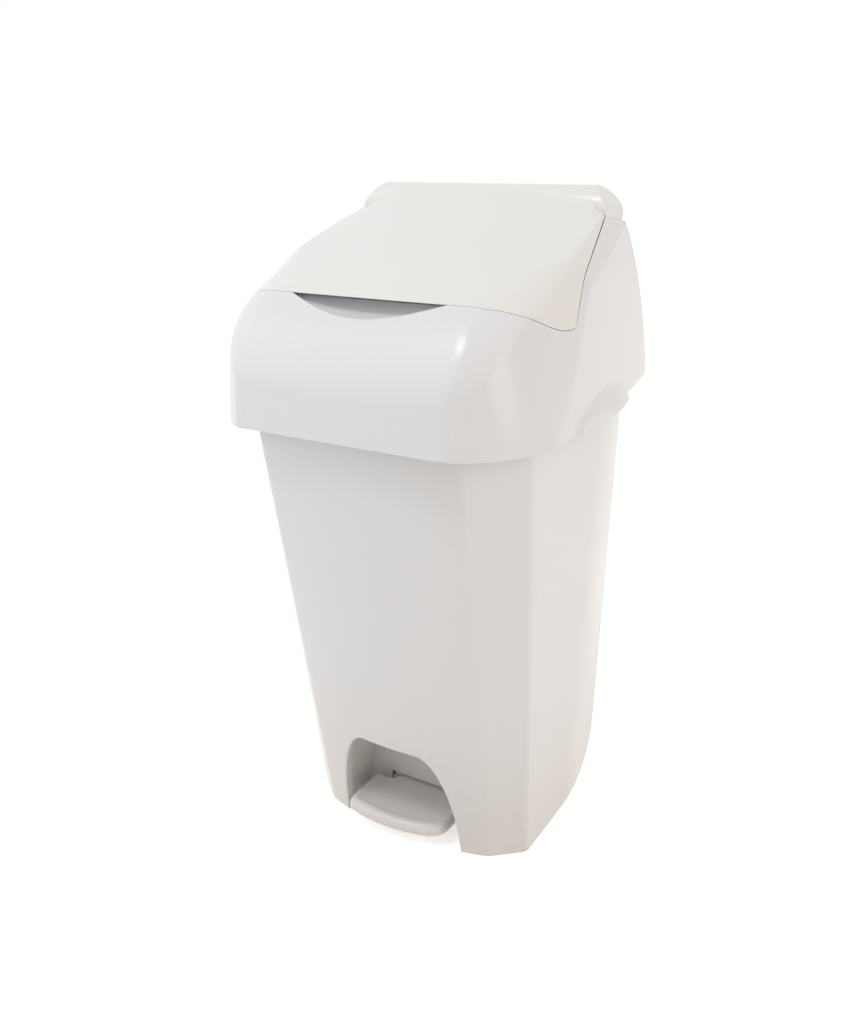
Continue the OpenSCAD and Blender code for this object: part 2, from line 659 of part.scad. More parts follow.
// Push rod and its guide
module rod_guide_tube() {
    color(steel)
    ring(rod_x, rod_y, floor_z, guide_top - floor_z, guide_d / 2, guide_d / 2 - guide_wall);
}
module bush(z) {
    color(nylon)
    ring(rod_x, rod_y, z, bush_l, guide_d / 2 - guide_wall - run_fit, rod_d / 2 + run_fit);
}
module rod_bush_lower() bush(floor_z);
module rod_bush_upper() bush(guide_top - bush_l);
module guide_clip(z) {
    color(nylon)
    difference() {
        intersection() {
            tub_solid(wall + seat_gap / 2, 30, tub_h - 30);
            union() {
                post(rod_x, rod_y, z, 12, guide_d / 2 + 3);
                translate([rod_x - 40, rod_y - 5, z])
                    cube([40, 10, 12]);
            }
        }
        post(rod_x, rod_y, z - 1, 14, guide_d / 2 + run_fit);
    }
}
module guide_clip_lower() guide_clip(floor_z + 140);
module guide_clip_upper() guide_clip(guide_top - 70);
module push_rod() {
    color(steel)
    post(rod_x, rod_y, rod_z0, rod_z1 - rod_z0 - 4, rod_d / 2);
}
module rod_tip() {
    color(nylon)
    union() {
        translate([rod_x, rod_y, tip_c])
            sphere(r = tip_r);
        post(rod_x, rod_y, rod_z1 - 4, 4, tip_r);
    }
}
module rod_foot() {
    color(nylon)
    difference() {
        union() {
            translate([rod_x, rod_y, foot_c])
                sphere(r = foot_r);
            post(rod_x, rod_y, foot_c, 4, foot_r);
        }
        post(rod_x, rod_y, rod_z0, 20, rod_d / 2 + run_fit);
    }
}

// Hood
function block_at(az) = level_hit(az, tray_top + block_h / 2, wall);
function block_turn(az) = let (t = block_at(az + 2) - block_at(az - 2)) atan2(t[1], t[0]);
module tray_block(az, reach) {
    p = block_at(az);
    translate([p[0], p[1], tray_top])
        rotate([0, 0, block_turn(az)])
            translate([-block_w / 2, -block_root, 0])
                cube([block_w, reach + block_over + block_root, block_h]);
}
function tray_point(az, reach) = let (p = block_at(az), a = block_turn(az))
    [p[0] - sin(a) * reach, p[1] + cos(a) * reach];
tray_points = [for (f = tray_fix, s = [-1, 1]) tray_point(s * f[0], f[1])];
tray_edge = [for (a = [0 : 6 : 354]) let (p = level_hit(a, tray_top, wall + tray_play)) [p[0], p[1]]];
module hood_shell() {
    sections = [for (e = hood_seam) hood_section(e)];
    n = len(sections[0]);
    color(white)
    difference() {
        union() {
            polyhedron([for (s = sections) each s], ring_faces(len(sections), n));
            for (f = tray_fix, s = [-1, 1])
                tray_block(s * f[0], f[1]);
        }
        for (p = tray_points)
            post(p[0], p[1], tray_top - 1, 9, screw_d / 2 + screw_fit);
    }
}
module hood_tray() {
    color(white)
    difference() {
        plate(tray_edge, tray_z, tray_t);
        translate([0, mouth_y, 0])
            plate(rounded(mouth_w, mouth_d, 40), tray_z - 1, tray_t + 2);
        post(rod_x, rod_y, tray_z - 1, tray_t + 2, rod_d / 2 + 1);
        for (p = tray_points)
            post(p[0], p[1], tray_z - 1, tray_t + 2, screw_d / 2 + screw_fit);
        for (s = [-1, 1], y = bracket_screw_y)
            post(s * bracket_screw_x, y, tray_z - 1, tray_t + 2, screw_d / 2 + screw_fit);
    }
}
module tray_screws() {
    color(steel)
    for (p = tray_points) {
        post(p[0], p[1], tray_z - 1.8, 1.8, 3.5);
        post(p[0], p[1], tray_z - eps, tray_t + 7, screw_d / 2);
    }
}
module rim_gasket() {
    rim = tub_loop(tub_h);
    color(rubber)
    difference() {
        plate(inset(rim, 2), gasket_z, gasket_t);
        plate(inset(rim, 8), gasket_z - 1, gasket_t + 2);
    }
}
module hinge_bracket(s) {
    color(steel)
    difference() {
        union() {
            along_x(s * bracket_x, bracket_t)
                intersection() {
                    union() {
                        translate([hinge_y, hinge_z])
                            circle(r = 13);
                        polygon([[hinge_y - 11.5, hinge_z], [hinge_y - 12.9, neck_z],
                            [hinge_y + 6.5, neck_z - 84], [bracket_foot[0], tray_top],
                            [reach, tray_top], [reach, neck_z], [hinge_y + 1.5, neck_z],
                            [hinge_y + 1.5, hinge_z]]);
                    }
                    translate([back_cy, back_cz])
                        circle(r = back_r - wall - bracket_gap, $fn = 360);
                }
            translate([s > 0 ? bracket_flange : -bracket_x, bracket_foot[0], tray_top])
                cube([bracket_x - bracket_flange, bracket_foot[1] - bracket_foot[0], 4]);
        }
        bar_x(s * bracket_x - 10, s * bracket_x + 10, hinge_y, hinge_z, pin_d / 2 + run_fit);
        for (y = bracket_screw_y)
            post(s * bracket_screw_x, y, tray_top - 1, 6, screw_d / 2 + screw_fit);
    }
}
module hinge_bracket_left() hinge_bracket(-1);
module hinge_bracket_right() hinge_bracket(1);
module bracket_screws() {
    color(steel)
    for (s = [-1, 1], y = bracket_screw_y) {
        post(s * bracket_screw_x, y, tray_top + 4, 2, 4);
        post(s * bracket_screw_x, y, tray_z, tray_t + 4 + eps, screw_d / 2);
    }
}
module hinge_rod() {
    color(steel)
    bar_x(-bracket_x - 7, bracket_x + 7, hinge_y, hinge_z, pin_d / 2);
}
module rod_cap(s) {
    x = s * (bracket_x + bracket_t / 2 + seat_gap + cap_l / 2);
    color(nylon)
    difference() {
        bar_x(x - cap_l / 2, x + cap_l / 2, hinge_y, hinge_z, 6.5);
        bar_x(s > 0 ? x - 10 : x - 1, s > 0 ? x + 1 : x + 10, hinge_y, hinge_z, pin_d / 2 + run_fit);
    }
}
module rod_cap_left() rod_cap(-1);
module rod_cap_right() rod_cap(1);
module lid_buffer(s) {
    x = seam_x - 11;
    p = drop_hit(x, slot_y + 5);
    color(rubber)
    translate([s * x, p[1], p[2]])
        rotate([flap_tilt, 0, 0])
            translate([0, 0, -ledge_drop * cos(flap_tilt) + seat_gap / 2])
                cylinder(r = 3.5, h = ledge_drop * cos(flap_tilt) - wall - seat_gap * 2);
}
module lid_buffer_left() lid_buffer(-1);
module lid_buffer_right() lid_buffer(1);

// Lid
module in_flap_frame() {
    translate([0, slot_y, top_z])
        rotate([flap_tilt, 0, 0])
            children();
}
module lid_flap() {
    color(cream)
    difference() {
        union() {
            polyhedron(concat([for (c = flap_upper) each c], [for (c = flap_lower) each c]),
                sheet_faces(len(flap_upper), flap_rows + 2));
            difference() {
                bar_x(-roll_l, roll_l, hinge_y, hinge_z, roll_r);
                intersection() {
                    bar_x(-roll_l, roll_l, hinge_y, hinge_z, roll_r - wall);
                    along_y(hinge_y - roll_r, hinge_y + roll_r)
                        polygon(roll_room);
                }
            }
            for (s = [-1, 1])
                bar_x(s * web_x - web_t / 2, s * web_x + web_t / 2, hinge_y, hinge_z, roll_r - wall / 2);
            in_flap_frame()
                for (p = liner_points)
                    post(p[0], p[1], -liner_depth, liner_depth + boss_top(p[0], p[1]), 4.5);
            translate([lug_x[0], lug_y[0], lug_z])
                cube([lug_x[1] - lug_x[0], lug_y[1] - lug_y[0], lug_top - lug_z]);
        }
        bar_x(-web_x - web_t, web_x + web_t, hinge_y, hinge_z, pin_d / 2 + run_fit);
        for (s = [-1, 1]) {
            along_y(hinge_y - 2 * roll_r, hinge_y + 2 * roll_r)
                polygon([[s * (roll_l - roll_cut), hinge_z + roll_r + 1], [s * roll_l, hinge_z - 2],
                    [s * (roll_l + 10), hinge_z - 2], [s * (roll_l + 10), hinge_z + roll_r + 10],
                    [s * (roll_l - roll_cut), hinge_z + roll_r + 10]]);
            along_x(s * bracket_x, bracket_t + 2)
                polygon(concat([[hinge_y, hinge_z]],
                    [for (a = [-132 : 6 : -18]) [hinge_y + 40 * cos(a), hinge_z + 40 * sin(a)]]));
        }
        translate([rod_x - 11, hinge_y - roll_r - 1.5, lug_z - 30])
            cube([34, 2 * roll_r + 4, 30]);
        in_flap_frame()
            for (p = liner_points)
                post(p[0], p[1], -liner_depth - 1, 10, screw_d / 2 + screw_fit);
    }
}
module lid_liner() {
    color(white)
    in_flap_frame()
        difference() {
            union() {
                translate([-liner_w, liner_front, -liner_depth - liner_t])
                    cube([2 * liner_w, liner_rear - liner_front, liner_t]);
                translate([-liner_w, liner_front, -liner_depth - liner_t])
                    cube([2 * liner_w, 2, 10]);
                for (s = [-1, 1])
                    translate([s * (liner_w - 1) - 1, liner_front, -liner_depth - liner_t])
                        cube([2, liner_rear - liner_front, 10]);
            }
            for (p = liner_points)
                post(p[0], p[1], -liner_depth - liner_t - 1, liner_t + 2, screw_d / 2 + screw_fit);
        }
}
module liner_screws() {
    color(steel)
    in_flap_frame()
        for (p = liner_points) {
            post(p[0], p[1], -liner_depth - liner_t - 2, 2, 4);
            post(p[0], p[1], -liner_depth - liner_t - eps, liner_t + 7, screw_d / 2);
        }
}

tub_shell();
base_plate();
foot_front_left();
foot_front_right();
foot_rear_left();
foot_rear_right();
base_screws();
axle_bearing_left();
axle_bearing_right();
pedal_axle();
axle_clip_left();
axle_clip_right();
pedal_buffers();
foot_pedal();
pedal_lever();
lever_screws();
rod_guide_tube();
rod_bush_lower();
rod_bush_upper();
guide_clip_lower();
guide_clip_upper();
push_rod();
rod_tip();
rod_foot();
bag_ring();
hood_shell();
hood_tray();
tray_screws();
rim_gasket();
hinge_bracket_left();
hinge_bracket_right();
bracket_screws();
hinge_rod();
rod_cap_left();
rod_cap_right();
lid_buffer_left();
lid_buffer_right();
lid_flap();
lid_liner();
liner_screws();
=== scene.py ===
import json
import math
import bpy
import numpy as np
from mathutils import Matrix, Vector


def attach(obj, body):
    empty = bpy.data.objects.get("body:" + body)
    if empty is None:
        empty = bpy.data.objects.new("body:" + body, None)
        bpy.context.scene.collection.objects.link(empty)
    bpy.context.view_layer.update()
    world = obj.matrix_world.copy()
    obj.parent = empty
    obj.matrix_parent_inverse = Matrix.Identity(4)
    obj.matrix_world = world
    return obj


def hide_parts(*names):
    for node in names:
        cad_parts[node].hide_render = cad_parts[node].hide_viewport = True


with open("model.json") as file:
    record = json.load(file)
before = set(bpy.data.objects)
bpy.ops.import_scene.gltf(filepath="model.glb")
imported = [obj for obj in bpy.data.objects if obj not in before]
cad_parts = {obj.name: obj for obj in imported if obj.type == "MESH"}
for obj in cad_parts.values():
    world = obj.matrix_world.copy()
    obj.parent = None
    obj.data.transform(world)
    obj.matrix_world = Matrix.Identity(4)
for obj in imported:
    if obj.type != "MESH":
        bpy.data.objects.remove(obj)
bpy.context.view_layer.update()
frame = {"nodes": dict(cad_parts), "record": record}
mm = 0.001  # shapes are worked out in millimetres and written in metres


# Small helpers for numbers
def mix(a, b, t):  # straight blend of two values
    return a + (b - a) * t


def smooth(t):  # 0 to 1 with level ends
    t = np.clip(t, 0, 1)
    return t * t * (3 - 2 * t)


def roundCut(a, b, r):  # intersection of two half spaces, its edge rounded to radius r
    return np.minimum(-r, np.maximum(a, b)) + np.hypot(np.maximum(a + r, 0), np.maximum(b + r, 0))


def rows(*xs):  # joins coordinates into one array of points
    return np.stack(np.broadcast_arrays(*xs), axis=-1).astype(float)


def spaced(n, ends=0.4):  # n + 1 values from 0 to 1, closer together at both ends
    w = mix(ends, 1, np.sin(np.pi * (np.arange(n) + 0.5) / n) ** 0.8)
    return np.concatenate([[0], np.cumsum(w) / w.sum()])


# Meshes from arrays
def gridQuads(m, n, closeM=False, closeN=False, start=0):  # quads of an m by n grid of points
    j = np.arange(m if closeM else m - 1)[:, None]
    i = np.arange(n if closeN else n - 1)[None, :]
    j2, i2 = (j + 1) % m, (i + 1) % n
    q = np.stack([j * n + i, j2 * n + i, j2 * n + i2, j * n + i2], axis=-1)
    return q.reshape(-1, 4) + start


def meshPiece(name, verts, faces, body, mat, sharp=35, replaces=None, slot=None):
    # verts in millimetres; faces is a list of arrays of quads or triangles
    me = bpy.data.meshes.new(name)
    loops = np.concatenate([f.ravel() for f in faces]).astype(np.int32)
    sizes = np.concatenate([np.full(len(f), f.shape[1]) for f in faces]).astype(np.int32)
    me.vertices.add(len(verts))
    me.vertices.foreach_set("co", (np.asarray(verts) * mm).ravel())
    me.loops.add(len(loops))
    me.loops.foreach_set("vertex_index", loops)
    me.polygons.add(len(sizes))
    me.polygons.foreach_set("loop_start", np.concatenate([[0], np.cumsum(sizes)[:-1]]).astype(np.int32))
    me.update(calc_edges=True)
    me.validate()
    me.polygons.foreach_set("use_smooth", np.ones(len(me.polygons), bool))
    me.set_sharp_from_angle(angle=math.radians(sharp))
    me.materials.append(mat)
    ob = bpy.data.objects.new(name, me)
    bpy.context.scene.collection.objects.link(ob)
    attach(ob, body)
    for node in replaces or []:
        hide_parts(node)
    return ob


def joined(parts):  # several (verts, [faces]) pieces as one
    verts, faces, n = [], [], 0
    for v, fs in parts:
        verts.append(v.reshape(-1, 3))
        faces += [f + n for f in fs]
        n += len(verts[-1])
    return np.concatenate(verts), faces


def ringShell(sections):  # closed ring of closed sections, m by n by 3
    m, n = sections.shape[:2]
    return sections.reshape(-1, 3), [gridQuads(m, n, True, True)]


def sheetShell(upper, lower, mask=None, closed=False):
    # two grids of points, one over the other, with walls round their edge and round holes in the mask;
    # a closed one meets itself along its second direction, and its first and last rows are small rings
    m, n = upper.shape[:2]
    cells = n if closed else n - 1
    keep = np.ones((m - 1, cells), bool) if mask is None else mask
    top = gridQuads(m, n, False, closed).reshape(m - 1, cells, 4)[keep]
    faces = [top, top[:, ::-1] + m * n]
    pad = np.pad(keep, 1)
    if closed:
        ring = np.arange(n)[None, :]
        faces += [ring, (ring + (m - 1) * n)[:, ::-1], ring[:, ::-1] + m * n, ring + (2 * m - 1) * n]
        pad[:, 0], pad[:, -1], pad[0], pad[-1] = pad[:, -2], pad[:, 1], True, True
    idx = lambda j, i: j * n + i % n
    # for every side of a cell the step to its neighbour and the side's two corners
    sides = ((0, -1, (1, 0), (0, 0)), (0, 1, (0, 1), (1, 1)),
             (-1, 0, (0, 0), (0, 1)), (1, 0, (1, 1), (1, 0)))
    for dj, di, a, b in sides:
        near = pad[1 + dj:m + dj, 1 + di:cells + 1 + di]
        j, i = np.nonzero(keep & ~near)
        p, r = idx(j + a[0], i + a[1]), idx(j + b[0], i + b[1])
        faces.append(np.stack([p, r, r + m * n, p + m * n], axis=-1))
    return np.concatenate([upper.reshape(-1, 3), lower.reshape(-1, 3)]), [f for f in faces if len(f)]


def lathe(profile, centre, axis="z", n=64):  # closed profile of (radius, height) turned about an axis
    a = np.linspace(0, 2 * np.pi, n, endpoint=False)[:, None]
    r, h = np.asarray(profile, float).T
    c, s, h = r * np.cos(a), r * np.sin(a), h + 0 * a
    p = rows(c, s, h) if axis == "z" else rows(h, c, s)
    return ringShell(p + np.asarray(centre, float))


# The skin that hood and flap share, as signed distances
skin = dict(
    hoodZ=496.5, front=227.5, lean=0.073, lip=62.0,  # lower edge, front face and its roll into the top
    podR=118.5, podX=61.0, podY=-124.0, podLean=0.058, podTop=55.0, edgeR=0.5,  # front corners
    shoulder=(146.8, 26.0, 685.5), shoulderTurn=(0.905, -0.03, 0.413), shoulderR=0.4,  # plane beside the flap
    sideW=178.0, sideY=-141.0, sideIn=42.5, sidePow=1.7, sideLean=3.2, leanPow=1.68,  # sides
    backR=524.9, backY=-250.6, backZ=280.0,  # rear arc
    gripOut=12.0, gripH=28.0, gripL=94.0, gripY=12.0,  # finger grips
    topZ=624.8, slope=0.3823, crown=2.93e-6,  # sloping top
    slotY=-172.0, slotW=85.5, scoop=19.0, fadeY=-20.0, fadeL=129.0,  # flap's front edge and finger scoop
    wall=3.0, gap=0.4)
roll = dict(y=63.5, z=694.0, r=24.0, half=146.0, cove=40.0, fade=134.0, taper=2.0, sink=0.1, wall=3.0)
skin["rear"] = skin["backY"] + math.sqrt(skin["backR"] ** 2 - (skin["hoodZ"] - skin["backZ"]) ** 2)
shoulderN = np.array(skin["shoulderTurn"]) / np.linalg.norm(skin["shoulderTurn"])


def topField(p):  # sloping, slightly crowned top
    s = skin["slope"] - skin["crown"] * p[..., 0] ** 2
    return (p[..., 2] - skin["topZ"] - s * (p[..., 1] - skin["slotY"])) / np.sqrt(1 + s * s)


def sideField(p):  # sides that draw in to the rear, with the finger grips flared out at the lower edge
    x, y, z = np.abs(p[..., 0]), p[..., 1], p[..., 2]
    h = np.maximum(z - skin["hoodZ"], 0)
    e = np.sqrt(np.maximum(0, 1 - ((y - skin["gripY"]) / skin["gripL"]) ** 2))
    grip = skin["gripOut"] * e * np.maximum(0, 1 - h / np.maximum(skin["gripH"] * e, 0.5))
    t = np.clip((y - skin["sideY"]) / (skin["rear"] - skin["sideY"]), 0, 1)
    lean = skin["sideLean"] * (h / 100) ** skin["leanPow"]
    return x - (skin["sideW"] - skin["sideIn"] * t ** skin["sidePow"] - lean + grip)


def backField(p):  # rear panel, an arc seen from the side
    return np.hypot(p[..., 1] - skin["backY"], p[..., 2] - skin["backZ"]) - skin["backR"]


def frontField(p):  # flat front rolled over into the top
    f = -p[..., 1] - skin["front"] + skin["lean"] * (p[..., 2] - skin["hoodZ"])
    return roundCut(f, topField(p), skin["lip"])


def podField(p):  # rounded front corners and the shoulder plane, rolled over into the top
    x, y, z = np.abs(p[..., 0]), p[..., 1], p[..., 2]
    r = skin["edgeR"] + skin["podTop"] * smooth((skin["fadeY"] - y) / skin["fadeL"])
    pod = x - skin["podX"]
    pod = np.where(y < skin["podY"], np.hypot(np.maximum(pod, 0), y - skin["podY"]), pod)
    pod = pod - skin["podR"] + skin["podLean"] * (z - skin["hoodZ"])
    shoulder = (rows(x, y, z) - skin["shoulder"]) @ shoulderN
    return roundCut(pod, roundCut(shoulder, topField(p), skin["shoulderR"] * r), r)


def skinField(p):  # the whole outside
    return np.maximum(np.maximum(frontField(p), podField(p)), np.maximum(sideField(p), backField(p)))


def flapField(p):  # the skin swept up into the hinge roll through a circle that touches both
    x, q = np.abs(p[..., 0]), p[..., 1:] - (roll["y"], roll["z"])
    s = skin["slope"] - skin["crown"] * x ** 2
    al = np.arctan(s)
    n, t = rows(-np.sin(al), np.cos(al)), rows(np.cos(al), np.sin(al))
    r = roll["r"] - roll["sink"] - roll["taper"] * np.maximum(0, x - roll["fade"])
    h = (skin["topZ"] + s * (roll["y"] - skin["slotY"]) - roll["z"]) * np.cos(al)
    plain = np.minimum(skinField(p), np.hypot(q[..., 0], q[..., 1]) - r)
    k = roll["cove"]
    along = np.sqrt(np.maximum((r + k) ** 2 - (h + k) ** 2, 0))
    c = n * (h + k)[..., None] - t * along[..., None]
    pastSkin = ((q - c + n * k) * t).sum(-1) > 0
    beforeRoll = c[..., 0] * q[..., 1] - c[..., 1] * q[..., 0] > 0
    inside = pastSkin & beforeRoll & (r > h + 2 * roll["sink"])
    return np.where(inside, k - np.hypot(*np.moveaxis(q - c, -1, 0)), plain)


def hit(c, d, offset=0.0, field=skinField, lo=60.0, hi=420.0, halvings=34):
    # point where a ray from c along d meets the skin moved inwards by offset, found by halving
    c, d = np.broadcast_arrays(np.asarray(c, float), np.asarray(d, float))
    a, b = np.full(c.shape[:-1], lo), np.full(c.shape[:-1], hi)
    for step in range(halvings):
        m = (a + b) / 2
        out = field(c + d * m[..., None]) > -offset
        a, b = np.where(out, a, m), np.where(out, m, b)
    return c + d * ((a + b) / 2)[..., None]


hub = np.array([0.0, 0.0, 560.0])


def polar(az, el):  # direction from the hub; azimuth 0 is the front, 90 the +X side
    return rows(np.sin(az) * np.cos(el), -np.cos(az) * np.cos(el), np.sin(el))


def dropHit(x, y, field=skinField, below=300.0):  # point of the skin over x and y
    x, y = np.broadcast_arrays(np.asarray(x, float), np.asarray(y, float))
    return hit(rows(x, y, below + 0 * x), (0, 0, 1), 0.0, field)


def levelHit(az, z, offset=0.0):  # point of the skin at height z in the direction az
    return hit(rows(0, 0, z + 0 * az), rows(np.sin(az), -np.cos(az), 0 * az), offset)


# The seam between hood and flap: half of it as columns of numbers
seamSet = dict(
    x=108.0, end=(170.6, -80.0), apex=(145.5, 40.0), notch=(150.0, 84.0), rearX=147.5, rearY=88.5,
    creaseA=4.6, halfA=37.5, blendY=(-168.0, -160.0), midY=-126.0, halfY=46.0,
    sideY=(-172.0, -164.5, -160.0, -153.5, -143.0, -133.0, -118.5, -100.0, -90.0, -80.0),
    sideZ=(623.4, 620.3, 618.0, 614.7, 611.2, 607.5, 601.4, 596.6, 595.8, 597.3),
    turnAt=(0, 0.05, 0.17, 1), turn=(0, 0.07, 0.17, 0.72), notchTurn=0.2,
    powerAt=(0, 0.017, 0.05, 0.17, 1), power=(5.5, 4.2, 1.9, 1.7, 1.6), frontPower=3,
    frontEnd=0.96, frontCols=38, arcCols=64, sideCols=54, notchCols=16, rearCols=24)


def seamHalf(part):
    # straight front, quarter ellipse round the corner, straight side, notch at the roll and straight rear,
    # as columns of x, y, azimuth below, path power, ledge, scoop, direction of the inside (radians)
    s = seamSet
    (endX, endY), (apexX, apexY), (notchX, notchY) = s["end"], s["apex"], s["notch"]
    creaseX = skin["podX"] + math.sqrt(skin["podR"] ** 2 - (skin["front"] + skin["podY"]) ** 2)
    creaseAz = math.atan2(creaseX, skin["front"])
    podAz = math.atan2(skin["sideW"], -skin["sideY"])
    cornerAz = math.pi - math.atan2(skin["sideW"] - skin["sideIn"], skin["rear"])
    t = np.linspace(0, s["frontEnd"], s["frontCols"])
    x = s["x"] * t
    front = np.stack([x, x * 0 + skin["slotY"], creaseAz * t, x * 0 + s["frontPower"], x * 0 + 1,
                      np.maximum(0, 1 - (x / skin["slotW"]) ** 2), x * 0])
    half = s["arcCols"] // 2
    a = np.radians(np.concatenate([np.linspace(s["creaseA"], s["halfA"], half, endpoint=False),
                                   np.linspace(s["halfA"], 90, half)]))
    t = a / (math.pi / 2)
    x = s["x"] + (endX - s["x"]) * np.sin(a)
    y = endY + (skin["slotY"] - endY) * np.cos(a)
    # past blendY the seam is a quintic through the heights of sideZ, and x follows from the skin
    scaled = lambda v: (v - s["midY"]) / s["halfY"]
    z = np.polyval(np.polyfit(scaled(np.array(s["sideY"])), s["sideZ"], 5), scaled(y))
    past = smooth((y - s["blendY"][0]) / (s["blendY"][1] - s["blendY"][0]))
    x = mix(x, hit(rows(0, y, z), (1, 0, 0))[:, 0], past)
    arc = np.stack([x, y, mix(creaseAz, podAz, t), mix(s["frontPower"], s["power"][0], t), np.cos(a) ** 2,
                    0 * a, a])
    if part == "front":
        return np.concatenate([front, arc], axis=1)
    t = np.linspace(0, 1, s["sideCols"] + 1)[1:]
    side = np.stack([mix(arc[0, -1], apexX, t), mix(endY, apexY, t),
                     mix(podAz, cornerAz, np.interp(t, s["turnAt"], s["turn"])),
                     np.interp(t, s["powerAt"], s["power"]), 0 * t, 0 * t, 0 * t + math.pi / 2])
    t = np.linspace(0, 1, s["notchCols"] + 1)[1:]
    notch = np.stack([mix(apexX, notchX, t), mix(apexY, notchY, t),
                      mix(podAz, cornerAz, s["turn"][-1] + s["notchTurn"] * t), 0 * t + s["power"][-1],
                      0 * t, 0 * t, math.pi / 2 * (1 + 0.5 * t)])
    t = np.linspace(0, 1, s["rearCols"] + 1)
    rear = np.stack([s["rearX"] * (1 - t), 0 * t + s["rearY"], mix(cornerAz, math.pi, t),
                     0 * t + s["power"][-1], 0 * t, 0 * t, 0 * t + math.pi])
    return np.concatenate([front, arc, side, notch, rear], axis=1)


def fieldNormal(field, p, e=0.01):  # rate of change of a field along x, y and z, by differences
    step = e * np.eye(3)
    return np.stack([field(p + step[i]) - field(p - step[i]) for i in range(3)], axis=-1)


def seamAcross(cols):
    # plan part of the unit step that leads over the skin, square to the seam, from the hood to the flap
    h = rows(-np.sin(cols[6]), np.cos(cols[6]))
    p = dropHit(cols[0], cols[1])
    w = np.cross(fieldNormal(skinField, p), np.gradient(p, axis=0))
    w = w / np.linalg.norm(w, axis=-1, keepdims=True)
    w = w * np.sign((w[:, :2] * h).sum(-1) + 0.3 * w[:, 2])[:, None]  # inwards, or up on the steep side
    pastApex = (cols[6] > math.pi / 2 + 0.01)[:, None]
    return np.where(pastApex, h, w[:, :2])


# Path of a hood column: from its lower edge up to the seam, seen from the hub
edgeSet = dict(ledgeDrop=6.0, ledge=10.0, dishBack=12.0, dishLow=30.0, dishTop=5.0, dishPull=0.3, square=4,
               corner=0.35, lipCorner=1.6, reach=(0.12, 0.2, 0.2), under=(0.985, 0.94), inner=(0.86, 0.02),
               rows=96, innerRows=22, strip=20)


def azOf(p):  # azimuth seen from the hub
    return np.arctan2(p[..., 0], -p[..., 1])


def elOf(p):  # elevation seen from the hub
    return np.arctan2(p[..., 2] - hub[2], np.hypot(p[..., 0], p[..., 1]))


def hoodColumns(cols):
    # start and end of every column: lower edge, lip at the seam and their angles
    h = rows(-np.sin(cols[6]), np.cos(cols[6]))
    p = cols[:2].T - seamAcross(cols) * skin["gap"] / 2
    top = dropHit(p[:, 0], p[:, 1] - skin["scoop"] * cols[5])
    base = levelHit(cols[2], skin["hoodZ"])
    return dict(h=h, p=p, lip=dropHit(p[:, 0], p[:, 1])[:, 2], top=top, pow=cols[3], ledge=cols[4], k=cols[5],
                a0=cols[2], a1=azOf(top), b0=elOf(base), b1=elOf(top))


def pathPoints(c, t, shift=0.0, offset=0.0):
    # points at fractions t of all columns, moved inwards by offset: the elevation runs evenly, the azimuth
    # as a power of t
    az = mix(c["a0"][:, None], c["a1"][:, None], t ** c["pow"][:, None]) + shift
    return hit(hub, polar(az, mix(c["b0"][:, None], c["b1"][:, None], t)), offset)


def creaseShift(c, i, t, reach, test, fade=0.12, halvings=22):
    # how far in azimuth column i moves at each t so that it runs along the crease where test is zero;
    # where the crease ends below the seam the shift fades out
    el = mix(c["b0"][i], c["b1"][i], t)
    az = mix(c["a0"][i], c["a1"][i], t ** c["pow"][i])
    value = lambda a: np.sign(test(hit(hub, polar(a, el))))
    a, b = az - reach, az + reach
    va = value(a)
    ok = (va != 0) & (value(b) == -va)
    for step in range(halvings):
        m = (a + b) / 2
        same = value(m) == va
        a, b = np.where(same, m, a), np.where(same, b, m)
    if not ok.any():
        return 0 * t
    last = t[ok].max()
    d = np.interp(t, np.append(t[ok], 1.0), np.append(((a + b) / 2 - az)[ok], 0.0))
    return d * (1 - smooth((t - last + fade) / fade)) if last < 1 else d


def softCorner(a, c, b, r, n=5):  # n points round corner c on the way from a to b
    u = (a - c) / np.linalg.norm(a - c, axis=-1, keepdims=True) * r
    v = (b - c) / np.linalg.norm(b - c, axis=-1, keepdims=True) * r
    t = np.linspace(0, 1, n)[:, None]
    return (c + u)[:, None] * (1 - t) ** 2 + c[:, None] * 2 * t * (1 - t) + (c + v)[:, None] * t ** 2


